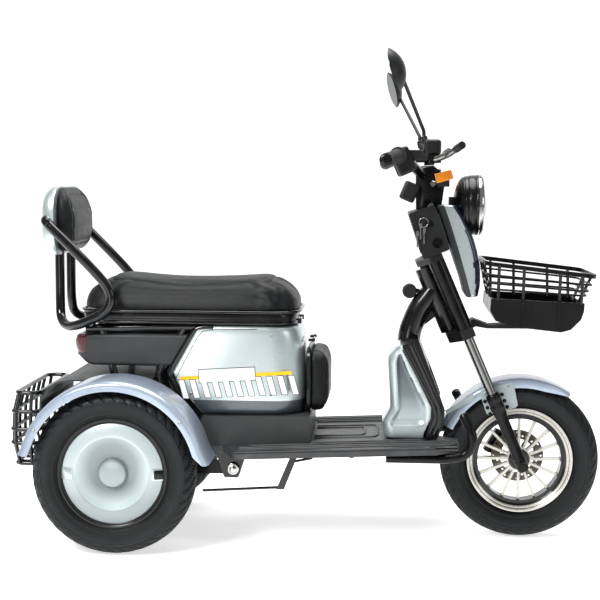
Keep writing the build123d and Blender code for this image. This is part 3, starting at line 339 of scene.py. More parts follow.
# a darker silver that is painted shade, for the seat body's foot
SHADED_SILVER = panel_lacquer("shaded_silver_lacquer", "5C6468", "454C50", metallic=0.6)
LAVENDER = panel_lacquer("lavender_silver_lacquer", "ABB7C6", "8E9AAB", metallic=0.4)
NAVY = panel_lacquer("navy_lacquer", "27334A", "131A29", metallic=0.5)
GLOSS = enamel("black_enamel", "040405", rough=0.10)
SATIN = enamel("satin_black_enamel", "030304", rough=0.20, shine=0.18, coat=0.10)
ABS = moulded("black_abs", "0C0D0D", "161717", rough=0.38)
GREY_ABS = moulded("charcoal_abs", "2D2F2F", "393B3B", rough=0.42)
TRIM_ABS = moulded("gloss_black_abs", "070708", "101011", rough=0.2, pebble=500, depth=0.0001)
LEATHER = leather("vinyl_leather", "0C0D0E", "17191A")
LEATHER_TOP = leather("vinyl_leather_panel", "0D0F10", "161919")
RUBBER = {x: tyre_rubber(name, x) for name, x in (
    ("front_tyre_rubber", FRONT_AXLE_X), ("rear_tyre_rubber", REAR_AXLE_X))}
GRIP = ribbed_rubber()
CHROME = polished("chrome_plate", "D2D2CF", rough=0.06)
HARD_CHROME = polished("hard_chrome", "8A8A86", rough=0.16)
STEEL = polished("bright_zinc", "B9B9B4", rough=0.2)
WHEEL = banded_casting()
DISC = turned_steel()
AMBER = lens("amber_lens", "FFA51E", "F07A00")
RED = lens("red_lens", "580810", "2C0408")
LAMP_GLASS = clear_glass()
MIRROR = mirror_silver()
FLOOR = floor_mat()
YELLOW = moulded("yellow_vinyl_film", "F2B705", "F7C61E", rough=0.3, pebble=900, depth=0.00002)
WHITE = moulded("white_vinyl_film", "E9ECEB", "F4F6F5", rough=0.3, pebble=900, depth=0.00002)
INK = moulded("dark_vinyl_film", "2E3033", "45484B", rough=0.35, pebble=900, depth=0.00002)

FINISH = {node: finish for finish, nodes in (
    (WHEEL, "front_rim"), (DISC, "brake_disc"), (CAP, "wheel_cap_left wheel_cap_right"),
    (AMBER, "turn_signals"), (HARD_CHROME, "fork_tubes"), (LAVENDER, "front_fender fender_left fender_right"),
    (RED, "tail_lamp"),
    (SILVER, "seat_box leg_shield_inner backrest_shell fairing_trim"), (LAMP_GLASS, "headlight_lens"),
    (MIRROR, "mirror_glasses"), (NAVY, "front_fairing"), (STEEL, "brake_levers ignition_lock"),
    (FLOOR, "floor_deck"), (GREY_ABS, "tail_panel rear_cover seat_box_base"), (GRIP, "grips"),
    (ABS, "mirrors ignition_cover switch_housings instrument_box horn steering_stem"),
    (ABS, "child_plate side_guards"),
    (TRIM_ABS, "rear_rim_left rear_rim_right leg_shield_outer headlight_bowl front_basket seat_pan"),
    (SATIN, "front_axle fork_lowers fork_covers brake_caliper rear_axle swing_arm"),
) for node in nodes.split()}
for name, node in NODES.items():
    node.data.materials.clear()
    node.data.materials.append(FINISH.get(name, GLOSS))


# ---- Shape helpers --------------------------------------------------------------------------
def placed(name, data):
    """A new object in the scene."""
    made = bpy.data.objects.new(name, data)
    bpy.context.scene.collection.objects.link(made)
    return made


def plain_mesh(made):
    """The evaluated shape of an object as a mesh of its own."""
    bpy.context.view_layer.update()
    return bpy.data.meshes.new_from_object(made.evaluated_get(bpy.context.evaluated_depsgraph_get()))


def baked(made):
    """An object's evaluated shape as a mesh, with the object itself removed."""
    mesh = plain_mesh(made)
    bpy.data.objects.remove(made)
    return mesh


def dress(mesh, finish):
    """Gives a mesh its finish, or its list of finishes."""
    mesh.materials.clear()
    for each in finish if isinstance(finish, list) else [finish]:
        mesh.materials.append(each)


def remeshed(made, voxel):
    """Adds a voxel remesh to an object."""
    remesh = made.modifiers.new("remesh", "REMESH")
    remesh.mode, remesh.voxel_size = "VOXEL", voxel


def settle(name, mesh, body, nodes=(), sharp=40):
    """Shades a mesh, makes it an object and sets it on its body in place of CAD nodes."""
    mesh.polygons.foreach_set("use_smooth", [True] * len(mesh.polygons))
    mesh.set_sharp_from_angle(angle=math.radians(sharp))
    made = placed(name, mesh)
    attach(made, body)
    if nodes:
        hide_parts(*nodes)
    return made


def piece(name, verts, faces, finish, body, *nodes, bands=None, sharp=40):
    """A mesh in place, its faces turned outwards, riding on a body; bands numbers each face's finish."""
    mesh = bpy.data.meshes.new(name)
    mesh.from_pydata(verts, [], faces)
    dress(mesh, finish)
    if bands:
        mesh.polygons.foreach_set("material_index", bands)
    shape = bmesh.new()
    shape.from_mesh(mesh)
    bmesh.ops.remove_doubles(shape, verts=shape.verts, dist=1e-6)
    bmesh.ops.recalc_face_normals(shape, faces=shape.faces)
    shape.to_mesh(mesh)
    shape.free()
    return settle(name, mesh, body, nodes, sharp)

def ring_faces(rows, columns, closed_rows=False, closed_columns=True, start=0):
    """Quads between the rows of a grid of vertices, round its columns."""
    faces = []
    for i in range(rows if closed_rows else rows - 1):
        for j in range(columns if closed_columns else columns - 1):
            a, b = (i + 1) % rows, (j + 1) % columns
            faces.append((start + i * columns + j, start + i * columns + b, start + a * columns + b,
                          start + a * columns + j))
    return faces


def lathe(profile, x, y, z, steps=96, groove=None):
    """A closed outline of (radius, y) turned about an axle; groove(angle, radius, y) sinks the radius."""
    verts = []
    for radius, across in profile:
        for step in range(steps):
            turn = 2 * math.pi * step / steps
            reach = radius - (groove(turn, radius, across) if groove else 0)
            verts.append((x + reach * math.cos(turn), y + across, z + reach * math.sin(turn)))
    return verts, ring_faces(len(profile), steps, closed_rows=True)

def tube(name, points, radius, finish, body, *nodes, ring=False, smooth=True, rounds=5):
    """A round bar or bead along points, as a mesh."""
    line = bpy.data.curves.new(name + "_line", "CURVE")
    line.dimensions, line.bevel_depth, line.bevel_resolution, line.resolution_u = "3D", radius, rounds, 6
    line.use_fill_caps = True
    run = line.splines.new("NURBS" if smooth else "POLY")
    run.points.add(len(points) - 1)
    for point, place in zip(run.points, points):
        point.co = (*place, 1)
    run.use_cyclic_u = ring
    if smooth:
        run.order_u, run.use_endpoint_u = 3, not ring
    mesh = baked(placed(name + "_line", line))
    dress(mesh, finish)
    return settle(name, mesh, body, nodes)

def mirrored(points, side):
    """Points of the left side, set on a side."""
    return [(x, side * y, z) for x, y, z in points]


def between(table, level):
    """A value read off a table of (level, value) by straight runs."""
    for (low, a), (high, b) in zip(table, table[1:]):
        if level <= high:
            return a + (b - a) * max(0.0, (level - low) / (high - low))
    return table[-1][1]

def level_of(shape):
    """A function of the level, from a table of (level, value), a plain number or a function."""
    if callable(shape):
        return shape
    return (lambda level: between(shape, level)) if isinstance(shape, list) else lambda level: shape


# ---- Repeats: Geometry Nodes trees for copies on points and for coil springs ----------------
def group(name, result, **inputs):
    """A Geometry Nodes tree with inputs of given kinds and one geometry result; returns it with its entry."""
    tree = bpy.data.node_groups.new(name, "GeometryNodeTree")
    for label, kind in inputs.items():
        tree.interface.new_socket(label, in_out="INPUT", socket_type="NodeSocket" + kind)
    tree.interface.new_socket(result, in_out="OUTPUT", socket_type="NodeSocketGeometry")
    return tree, add(tree, "NodeGroupInput").outputs


def ended(tree, geometry, finish):
    """A tree closed off: its instances made real and given a finish."""
    real = add(tree, "GeometryNodeRealizeInstances", links={0: geometry})
    made = add(tree, "GeometryNodeSetMaterial", links={"Geometry": real.outputs[0], "Material": finish})
    add(tree, "NodeGroupOutput", links={0: made.outputs[0]})
    return tree


def grown(holder, tree, **values):
    """Runs a Geometry Nodes tree on an object and returns its mesh."""
    step = holder.modifiers.new("nodes", "NODES")
    step.node_group = tree
    for item in tree.interface.items_tree:
        if item.in_out == "INPUT" and item.name in values:
            step[item.identifier] = values[item.name]
    return baked(holder)


def copies_tree():
    """Copies of a piece on a mesh's points."""
    tree, entry = group("copies_on_points", "Copies", Points="Geometry", Piece="Object", Size="Float",
                        Finish="Material")
    small = add(tree, "GeometryNodeObjectInfo", links={"Object": entry["Piece"]}).outputs["Geometry"]
    size = add(tree, "ShaderNodeCombineXYZ", links={axis: entry["Size"] for axis in "XYZ"})
    spread = add(tree, "GeometryNodeInstanceOnPoints", links={
        "Points": entry["Points"], "Instance": small, "Scale": size.outputs[0]})
    return ended(tree, spread.outputs[0], entry["Finish"])


def spring_tree():
    """A coil spring of round wire along Z."""
    tree, entry = group("coil_spring", "Spring", Mesh="Geometry", Turns="Float", Radius="Float",
                        Height="Float", Wire="Float", Finish="Material")
    coil = add(tree, "GeometryNodeCurveSpiral", {"Resolution": 28}, {
        "Rotations": entry["Turns"], "Start Radius": entry["Radius"], "End Radius": entry["Radius"],
        "Height": entry["Height"]})
    wire = add(tree, "GeometryNodeCurvePrimitiveCircle", {"Resolution": 8}, {"Radius": entry["Wire"]})
    swept = add(tree, "GeometryNodeCurveToMesh", {"Fill Caps": True},
                {"Curve": coil.outputs[0], "Profile Curve": wire.outputs[0]})
    return ended(tree, swept.outputs[0], entry["Finish"])


COPIES = copies_tree()


def copies(name, points, verts, faces, finish, body, size=1.0):
    """Copies of a small shape at points, made one plain mesh that rides on a body."""
    holders = []
    for label, corners, sides in (("_one", verts, faces), ("_points", points, [])):
        mesh = bpy.data.meshes.new(name + label)
        mesh.from_pydata(corners, [], sides)
        holders.append(placed(name + label, mesh))
    small, spots = holders
    mesh = grown(spots, COPIES, Piece=small, Size=size, Finish=finish)
    bpy.data.objects.remove(small)
    return settle(name, mesh, body)


def screw_head():
    """A button head screw with a round recess, its axis along -Y, of radius 1 and height 0.6."""
    sides = 12
    rows = [(1.0, 0.0), (1.0, -0.25), (0.82, -0.5), (0.5, -0.6), (0.46, -0.3)]
    verts = [(r * math.cos(2 * math.pi * k / sides), y, r * math.sin(2 * math.pi * k / sides))
             for r, y in rows for k in range(sides)]
    verts.append((0, -0.3, 0))
    last = sides * (len(rows) - 1)
    faces = ring_faces(len(rows), sides)
    faces += [(last + k, last + (k + 1) % sides, len(verts) - 1) for k in range(sides)]
    return verts, [tuple(reversed(face)) for face in faces]


# ---- Tyres ----------------------------------------------------------------------------------
def tyre(name, x, y, half, body, turn_way):
    """A tyre with rolled sidewalls, bead rings, slanted shoulder grooves and two grooves round its crown.

    side is (radius, y) from the bead to the crown; turn_way is the way that the grooves slant."""
    bead = half - 0.0133
    side = [(0.1405, bead), (0.1440, bead + 0.0045), (0.1475, bead + 0.0075), (0.1500, bead + 0.0078),
            (0.1512, bead + 0.0092), (0.1530, bead + 0.0092), (0.1545, bead + 0.0084),
            (0.1620, half - 0.0022), (0.1700, half - 0.0006), (0.1770, half), (0.1805, half - 0.0001),
            (0.1815, half + 0.0007), (0.1830, half + 0.0006), (0.1842, half - 0.0007),
            (0.1890, half - 0.0020), (0.1930, half - 0.0045), (0.1962, half - 0.0080),
            (0.1990, half - 0.0115), (0.2018, half - 0.0155), (0.2042, half - 0.0200),
            (0.2060, half - 0.0245), (0.2074, half - 0.0290), (0.2084, 0.0080), (0.2072, 0.0064),
            (0.2072, 0.0050), (0.2094, 0.0036), (0.2099, 0.0)]
    other_side = [(radius, -across) for radius, across in reversed(side[:-1])]
    profile = [(0.1290, bead)] + side + other_side + [(0.1290, -bead)]
    count, depth, shoulder, crown_edge = 40, 0.0062, 0.1862, 0.0085

    def groove(turn, radius, across):
        if radius < shoulder or abs(across) < crown_edge:
            return 0
        reach = (abs(across) - crown_edge) / (half - crown_edge)
        way = turn_way if across < 0 else -turn_way
        share = (turn * count / (2 * math.pi) + way * (1.5 * reach + (0.5 if across < 0 else 0))) % 1
        wall = min(1.0, max(0.0, 1 - abs(share - 0.5) / 0.17) * 2.6)
        return depth * wall * min(1.0, (radius - shoulder) / 0.004)
    verts, faces = lathe(profile, x, y, AXLE_Z, count * 10, groove)
    return piece(name + "_treaded", verts, faces, RUBBER[x], body, name, sharp=30)


tyre("front_tyre", FRONT_AXLE_X, 0, 0.0398, "front_wheel", 1)
tyre("rear_tyre_left", REAR_AXLE_X, HALF_TRACK, 0.0428, "rear_wheel_left", -1)
tyre("rear_tyre_right", REAR_AXLE_X, -HALF_TRACK, 0.0428, "rear_wheel_right", 1)


# ---- Cushions -------------------------------------------------------------------------------
def rounded_distance(u, v, half_u, half_v, corner):
    """How far a point is outside a rounded rectangle about the origin; negative inside."""
    a, b = abs(u) - half_u + corner, abs(v) - half_v + corner
    return math.hypot(max(a, 0), max(b, 0)) + min(max(a, b), 0) - corner


def swell(node, inset, voxel, cap, shape, held):
    """A CAD cushion's copy, remeshed, shaped and blown up as cloth; held(place) is true where it rests."""
    low, high = [Vector(corner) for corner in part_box(node)]
    middle, half = (low + high) / 2, (high - low) / 2
    made = placed(node + "_swollen", NODES[node].data.copy())
    for vert in made.data.vertices:
        for axis in range(3):
            vert.co[axis] = middle[axis] + (vert.co[axis] - middle[axis]) * (1 - inset / half[axis])
    for shaped in (False, True):
        remeshed(made, voxel)
        made.data = plain_mesh(made)
        made.modifiers.clear()
        if not shaped:
            for vert in made.data.vertices:
                vert.co = shape(vert.co)
    inflated(made, cap, held)
    made.modifiers.new("smooth", "SMOOTH").iterations = 8
    finer = made.modifiers.new("finer", "SUBSURF")
    finer.levels = finer.render_levels = 1
    return baked(made)


def inflated(made, cap, held):
    """Blows an object up under pressure as cloth, and caps how far each point moves."""
    start = [vert.co.copy() for vert in made.data.vertices]
    cloth = made.modifiers.new("cloth", "CLOTH").settings
    cloth.quality = 5
    cloth.use_pressure, cloth.uniform_pressure_force = True, 4
    resting = made.vertex_groups.new(name="held")
    resting.add([i for i, place in enumerate(start) if held(place)], 1, "REPLACE")
    cloth.vertex_group_mass = "held"
    cloth.effector_weights.gravity = 0
    for step in range(1, 21):
        bpy.context.scene.frame_set(step)
    mesh = plain_mesh(made)
    made.modifiers.clear()
    made.data = mesh
    for vert, place in zip(mesh.vertices, start):
        move = vert.co - place
        if move.length > cap:
            vert.co = place + move * (cap / move.length)
    bpy.context.scene.frame_set(1)


def crown(share):
    """How far a quarter-round edge is drawn in, from 0 at its foot to 1 at its top."""
    return 1 - math.sqrt(max(0.0, 1 - min(1.0, max(0.0, share)) ** 2))


def sewn(name, node, mesh, press, finishes, on_panel, body):
    for vert in mesh.vertices:
        vert.co = press(vert.co)
    dress(mesh, finishes)
    for face in mesh.polygons:
        face.material_index = len(finishes) - 1 if on_panel(face.center) else 0
    made = settle(name, mesh, body, (node,), 60)


def dip(distance, width):
    """The share of a seam's depth at a distance from it."""
    return math.exp(-(distance / width) ** 2)


def long_seat():
    """The seat: a dished saddle with domed ends, whose quilted top panel is sewn to a plain side wall."""
    low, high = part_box("seat_cushion")
    mid_x, half_x, half_y = (low[0] + high[0]) / 2, (high[0] - low[0]) / 2, high[1]
    base, top = low[2], high[2]

    def shape(p):
        lift = (p.z - base) / (top - base)
        inset = crown((lift - 0.12) / 0.86)
        reach = 0.088 if p.x < mid_x else 0.070
        ends = (p.x - mid_x) / half_x
        rise = 0.008 * min(1.0, ends * ends * 1.8) - 0.004 + (0.005 if p.x < mid_x else 0) * ends ** 2
        z = p.z + max(0.0, lift) * rise
        z -= max(0.0, lift) * 0.006 * (p.y / half_y) ** 2
        z -= 0.008 * max(0.0, min(1.0, (ends - 0.8) / 0.2)) * (1 - min(1.0, max(0.0, lift)))
        return Vector((p.x - reach * inset * ends, p.y * (1 - 0.030 * inset / half_y), z))
    resting = base + 0.014
    mesh = swell("seat_cushion", inset=0.007, voxel=0.005, cap=0.009, shape=shape,
                 held=lambda p: p.z < resting)
    panel, seam, channel_pitch = top - 0.034, 0.016, 0.024

    def inside(x, y):
        return rounded_distance(x - mid_x, y, half_x - 0.058, half_y - 0.030, 0.05)

    def press(p):
        edge = inside(p.x, p.y)
        if p.z > panel:
            p.z -= 0.0042 * dip(edge + seam, 0.0034)
            if edge < -0.020:
                p.z -= 0.0013 * dip((p.y + channel_pitch / 2) % channel_pitch - channel_pitch / 2, 0.0034)
        p.z = min(p.z, top + 0.008)
        return p
    sewn("seat_padded", "seat_cushion", mesh, press, [LEATHER, LEATHER_TOP],
         lambda p: p.z > panel and inside(p.x, p.y) < -seam, "seat")


def plan_loop(low, high, corner, z, inset, steps=8):
    """Points round a rounded rectangle at a height."""
    points = []
    x0, x1, y0, y1 = low[0] + inset, high[0] - inset, low[1] + inset, high[1] - inset
    for cx, cy, start in ((x1, y1, 0), (x0, y1, 90), (x0, y0, 180), (x1, y0, 270)):
        for k in range(steps + 1):
            turn = math.radians(start + 90 * k / steps)
            out_x, out_y = (-corner if cx == x1 else corner), (-corner if cy == y1 else corner)
            points.append((cx + out_x + corner * math.cos(turn), cy + out_y + corner * math.sin(turn), z))
    return points


def upright_pad(node, body, grow, corner, seam, fatter, cap, channels, finishes, shift=(0, 0)):
    """A pad that stands up and faces forwards, with rounded corners, a crowned face and a ring of stitching.

    grow is its growth across and upwards and how far its crown draws in; fatter is the share that is added to
    its thickness."""
    low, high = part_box(node)
    mid_z, half_z, half_y = (low[2] + high[2]) / 2, (high[2] - low[2]) / 2, high[1]
    rear, front = low[0], high[0]

    def shape(p):
        forward = min(1.0, max(0.0, (p.x - rear) / (front - rear)))
        round_off = crown((forward - 0.25) / 0.74)
        y, z = p.y, p.z - mid_z
        past = rounded_distance(y, z, half_y, half_z, corner)
        pull = max(0.0, past + 0.006) / max(1e-6, math.hypot(y, z))
        scale = (1 - pull) * (1 - grow[2] * round_off)
        return Vector((rear + shift[0] + (p.x - rear) * (1 + fatter), y * scale * grow[0],
                       mid_z + shift[1] + z * scale * grow[1]))
    resting = rear + shift[0] + 0.014
    mesh = swell(node, inset=0.004, voxel=0.0045, cap=cap, shape=shape, held=lambda p: p.x < resting)

    def inside(p):
        return rounded_distance(p.y, p.z - mid_z - shift[1], half_y * grow[0], half_z * grow[1], corner)

    def press(p):
        edge = inside(p)
        if p.x > rear + 0.014 and edge < 0:
            p.x -= 0.0032 * dip(edge + seam, 0.0030)
            if edge < -seam:
                p.x -= sum(0.002 * dip(p.z - mid_z - height, 0.0035) for height in channels)
        return p
    sewn(node + "_padded", node, mesh, press, finishes, lambda p: p.x > rear + 0.016 and inside(p) < -seam,
         body)


long_seat()
upright_pad("backrest_cushion", "frame", grow=(1.03, 1.15, 0.2), corner=0.066, seam=0.028, fatter=0.0,
            cap=0.008, channels=(-0.026, 0.026), finishes=[LEATHER, LEATHER_TOP])
upright_pad("child_pad", "child_seat", grow=(1.0, 1.05, 0.10), corner=0.036, seam=0.018, fatter=0.85,
            cap=0.005, channels=(), finishes=[LEATHER], shift=(-0.017, 0.003))
seat_low, seat_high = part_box("seat_cushion")
tube("seat_piping", plan_loop(seat_low, seat_high, 0.074, seat_low[2] + 0.003, 0.0010), 0.0042, GLOSS, "seat",
     ring=True)


# ---- Body panels ----------------------------------------------------------------------------
def stacked(name, rows, finish, body, nodes=(), bands=None):
    """A closed shell through rows of points, capped at both ends; bands(centre) picks each face's finish."""
    columns = len(rows[0])
    verts = [point for row in rows for point in row]
    faces = ring_faces(len(rows), columns)
    faces += [tuple(range(columns)), tuple(range((len(rows) - 1) * columns, len(rows) * columns))]
    chosen = bands and [bands(sum((Vector(verts[i]) for i in face), Vector()) / len(face)) for face in faces]
    return piece(name, verts, faces, finish, body, *nodes, bands=chosen)


def lofted(name, levels, front_x, rear_x, half, corner, finish, body, nodes, mouth=False, rear_corner=0.01,
           rounding=0.012, bands=None, splits=(), press=None):
    """A shell lofted up through levels: each is a plan with rounded front and rear corners.

    Its measures are tables of (level, value), numbers or functions of the level, and its ends are drawn in by
    rounding. mouth leaves the top open, with a wall inside it. splits are places along the sides where the
    shell gets an edge. press(point) shapes the shell's points."""
    front_x, rear_x, half, corner = [level_of(shape) for shape in (front_x, rear_x, half, corner)]
    splits = [level_of(split) for split in splits]

    def plan(z, inset):
        back, front, wide = rear_x(z) + inset, front_x(z) - inset, half(z) - inset
        points = []
        for cx, way, radius, start in ((front, -1, corner(z), 0), (back, 1, rear_corner, 90)):
            if start:
                first, last = points[-1][0], back + rear_corner
                marks = [min(first - 0.0004, max(last + 0.0004, split(z))) for split in splits]
                points += [(x, wide) for x in sorted(marks, reverse=True)]
            radius = max(0.001, min(radius, abs(front - back) * 0.9))
            for k in range(9):
                turn = math.radians(start + 90 * k / 8)
                points.append((cx + way * radius + radius * math.cos(turn),
                               wide - radius + radius * math.sin(turn)))
        return [(x, y, z) for x, y in points + [(x, -y) for x, y in reversed(points)]]
    low, high = levels[0], levels[-1]
    arc = [(rounding * (1 - math.cos(math.pi * k / 8)), rounding * (1 - math.sin(math.pi * k / 8)))
           for k in range(5)]
    heights = [(low + rise, inset) for rise, inset in arc]
    heights += [(z, 0) for z in levels[1:-1] if low + rounding < z < high - rounding]
    heights += [(high - rise, inset) for rise, inset in reversed(arc)]
    rows = [plan(z, inset) for z, inset in heights]
    if mouth:
        rows += [plan(high, rounding + 0.003), plan(high - 0.02, rounding + 0.004), plan(low + 0.03, 0.006)]
    if press:
        rows = [[tuple(press(Vector(point))) for point in row] for row in rows]
    return stacked(name, rows, finish, body, nodes, bands)


def steps_between(low, high, pitch):
    """Even levels from low to high, about a pitch apart."""
    count = max(2, round((high - low) / pitch))
    return [low + (high - low) * k / count for k in range(count + 1)]


def seat_body():
    """The bright body under the seat: broad front corners and a foot that tucks in, darkened with painted
    shade.
    """
    rear = [(0.336, -0.268), (0.376, -0.300), (0.415, -0.332), (0.449, -0.345), (0.548, -0.290),
            (0.571, -0.277)]
    front = [(0.336, -0.010), (0.356, -0.0035), (0.440, -0.0040), (0.524, -0.010), (0.552, -0.016),
             (0.571, -0.024)]
    wide = [(0.336, 0.128), (0.352, 0.1335), (0.372, 0.1375), (0.388, 0.1398), (0.400, 0.140), (0.555, 0.140),
            (0.571, 0.138)]
    # The lower faces take the second finish, a darker silver that is painted shade where the foot tucks in.
    lofted("seat_box_shell", steps_between(rear[0][0], rear[-1][0], 0.008), front, rear, wide, 0.078,
           [SILVER, SHADED_SILVER], "frame", ["seat_box"], mouth=True, rear_corner=0.006, rounding=0.010,
           bands=lambda p: 1 if p.z < 0.372 + 0.02 * (p.x + 0.3) else 0)
    edge = [(-0.240, 0.565), (-0.272, 0.565), (-0.292, 0.555), (-0.322, 0.503), (-0.352, 0.452),
            (-0.352, 0.430), (-0.338, 0.405), (-0.312, 0.374)]
    for side, label in SIDES:
        tube("body_edge_" + label, [(x, side * 0.131, z) for x, z in edge], 0.009, GLOSS, "frame")


def leg_shield():
    """The bright inner leg shield: a rounded rear, a recessed face in a raised border, and a flared foot; the
    recessed face is darkened with painted shade.
    """
    rear = [(0.283, 0.203), (0.300, 0.199), (0.328, 0.198), (0.344, 0.208), (0.362, 0.217), (0.420, 0.214),
            (0.483, 0.210), (0.500, 0.213), (0.515, 0.226), (0.529, 0.243)]
    front = [(0.283, 0.303), (0.301, 0.306), (0.336, 0.322), (0.350, 0.3235), (0.367, 0.3235), (0.419, 0.298),
             (0.470, 0.273), (0.528, 0.250)]

    def depth_of(p):
        inside = min(between(front, p.z) - p.x - 0.011, (p.x - between(rear, p.z) - 0.018) * 0.9, 0.513 - p.z,
                     p.z - 0.318)
        share = max(0.0, min(1.0, inside / 0.012))
        return share * share * (3 - 2 * share)

    def press(p):
        p.y -= math.copysign(0.009 * depth_of(p), p.y)
        return p
    splits = [lambda z, k=k: between(front, z) * (1 - k / 16) + between(rear, z) * k / 16
              for k in range(1, 16)]
    # The recessed face takes the second finish: silver with painted shade, darker towards its top.
    lofted("leg_shield_shell", steps_between(front[0][0], 0.5275, 0.006), front, rear, 0.138, 0.002,
           [SILVER, SHIELD], "frame", ["leg_shield_inner"], rear_corner=0.028, rounding=0.008, splits=splits,
           press=press, bands=lambda p: 1 if depth_of(p) > 0.35 and abs(p.y) > 0.11 else 0)


def fairing():
    """The fork's cover under the headlight: a charcoal rear band, a broad silver band and a navy nose."""
    rear = [(0.646, 0.410), (0.692, 0.398), (0.771, 0.370), (0.821, 0.353), (0.876, 0.334), (0.884, 0.333)]
    front = [(0.646, 0.441), (0.677, 0.4465), (0.700, 0.447), (0.727, 0.4455), (0.765, 0.438), (0.801, 0.427),
             (0.856, 0.399), (0.884, 0.381)]
    seam = [(0.650, 0.4235), (0.699, 0.410), (0.771, 0.3885), (0.840, 0.366), (0.884, 0.350)]
    nose = [(0.650, 0.4345), (0.704, 0.4325), (0.769, 0.4225), (0.831, 0.400), (0.884, 0.371)]

    def band(p):
        if p.x < between(seam, p.z):
            return 0
        return 1 if p.x < between(nose, p.z) and abs(p.y) > 0.06 else 2
    lofted("fairing_shell", steps_between(rear[0][0], rear[-1][0], 0.007), front, rear, 0.0815, 0.018,
           [GREY_ABS, SILVER, NAVY], "steering", ["front_fairing", "fairing_trim"], rear_corner=0.004,
           rounding=0.006, bands=band, splits=[seam, nose])


def tail():
    """The charcoal tail panel between the seat's rails, with the red lamp wrapped round its rear corners."""
    rear = [(0.462, -0.575), (0.490, -0.602), (0.530, -0.600), (0.5455, -0.590)]
    front = [(0.462, -0.352), (0.5455, -0.298)]
    lofted("tail_shell", steps_between(rear[0][0], rear[-1][0], 0.009), front, rear, 0.134, 0.004, GREY_ABS,
           "frame", ["tail_panel"], rear_corner=0.030, rounding=0.009)
    lofted("tail_lens", steps_between(0.492, 0.5435, 0.005), -0.572,
           lambda z: -0.608 + 0.010 * ((z - 0.520) / 0.026) ** 2, 0.1355, 0.003, RED, "frame", ["tail_lamp"],
           rear_corner=0.034, rounding=0.006)


def arched(name, axle_x, section, degrees, finish, body, nodes):
    """A mudguard: section(angle) gives its closed outline as (radius, y), swept round a wheel's axle."""
    rows = []
    for angle in degrees:
        turn = math.radians(angle)
        rows.append([(axle_x + reach * math.cos(turn), across, AXLE_Z + reach * math.sin(turn))
                     for reach, across in section(angle)])
    return stacked(name, rows, finish, body, nodes)


def rear_guard(side, label):
    """A rear mudguard: flat top, rounded shoulder, a side band with a rolled lip and a flared toe."""
    half_round = [(0.2382, 0.174), (0.2385, 0.230), (0.2380, 0.284), (0.2368, 0.293), (0.2335, 0.3005),
                  (0.2285, 0.3046), (0.2230, 0.305), (0.2145, 0.305), (0.2118, 0.3036), (0.2118, 0.3012),
                  (0.2145, 0.300), (0.2225, 0.3002), (0.2275, 0.2990), (0.2312, 0.2955), (0.2335, 0.290),
                  (0.2342, 0.284), (0.2345, 0.230), (0.2342, 0.174)]

    def section(angle):
        flare = 0.0105 * max(0.0, (16 - angle) / 9) ** 1.6 + 0.004 * max(0.0, (angle - 160) / 8) ** 2
        lip = 0.010 * max(0.0, (13 - angle) / 6)
        return [(reach + flare + (lip if reach < 0.216 else 0), side * across)
                for reach, across in half_round]
    arched("rear_guard_" + label, REAR_AXLE_X, section, steps_between(7, 168.5, 2.3), LAVENDER, "frame",
           ["fender_" + label])


def front_guard():
    """The front mudguard: crowned top, rolled lips and a tapered nose, on two mounting plates."""
    def section(angle):
        nose = max(0.0, (74 - angle) / 20) ** 1.5
        half, lip = 0.052 - 0.020 * nose, 0.197 + 0.015 * nose
        outer = [(0.2235, 0.0), (0.2232, half * 0.5), (0.2222, half - 0.012), (0.2205, half - 0.005),
                 (0.2170, half - 0.001), (0.2130, half), (lip + 0.002, half), (lip, half - 0.0012),
                 (lip + 0.002, half - 0.0032), (0.2125, half - 0.0032), (0.2155, half - 0.005),
                 (0.2178, half - 0.012), (0.2192, half * 0.5), (0.2196, 0.0)]
        return outer + [(reach, -across) for reach, across in outer[-2:0:-1]]
    arched("front_guard", FRONT_AXLE_X, section, steps_between(54, 155, 1.68), LAVENDER, "steering",
           ["front_fender"])
    mount = [(0.4513, 0.3943), (0.4560, 0.4010), (0.5358, 0.4234), (0.5405, 0.4150), (0.5517, 0.3620),
             (0.5460, 0.3560), (0.4760, 0.3340), (0.4700, 0.3400)]
    for side in (-1, 1):
        flat_on_side(f"guard_plate_{side + 1}", mount, side * 0.0522, side * 0.0035, PALE_SILVER, "steering")


def flat_on_side(name, corners, y, thick, finish, body, nodes=()):
    """A thin flat shape that faces sideways, from its corners (x, z)."""
    rows = [[(x, y + depth, z) for x, z in corners] for depth in (0, thick)]
    return stacked(name, rows, finish, body, nodes)


def turned(name, foot, along, profile, finish, body, nodes=(), steps=32):
    """A turned piece round an axis: profile is (distance along, radius)."""
    foot, along = Vector(foot), Vector(along).normalized()
    side = along.orthogonal().normalized()
    cross = along.cross(side)
    rows = [[tuple(foot + along * reach + (side * math.cos(a) + cross * math.sin(a)) * max(radius, 2e-4))
             for a in (2 * math.pi * k / steps for k in range(steps))] for reach, radius in profile]
    return stacked(name, rows, finish, body, nodes)


def plate(name, half_u, half_v, corners, layers, put, finish, body, nodes=(), steps=8):
    """A rounded plate through layers of (depth, inset); put(depth, u, v) sets each of its points.

    corners are its corner radius, which shrinks with the inset, and the least that it shrinks to."""
    rows = []
    for depth, inset in layers:
        loop = plan_loop((-half_u, -half_v), (half_u, half_v), max(corners[1], corners[0] - inset), 0, inset,
                         steps)
        rows.append([put(depth, u, v) for u, v, _ in loop])
    stacked(name, rows, finish, body, nodes)


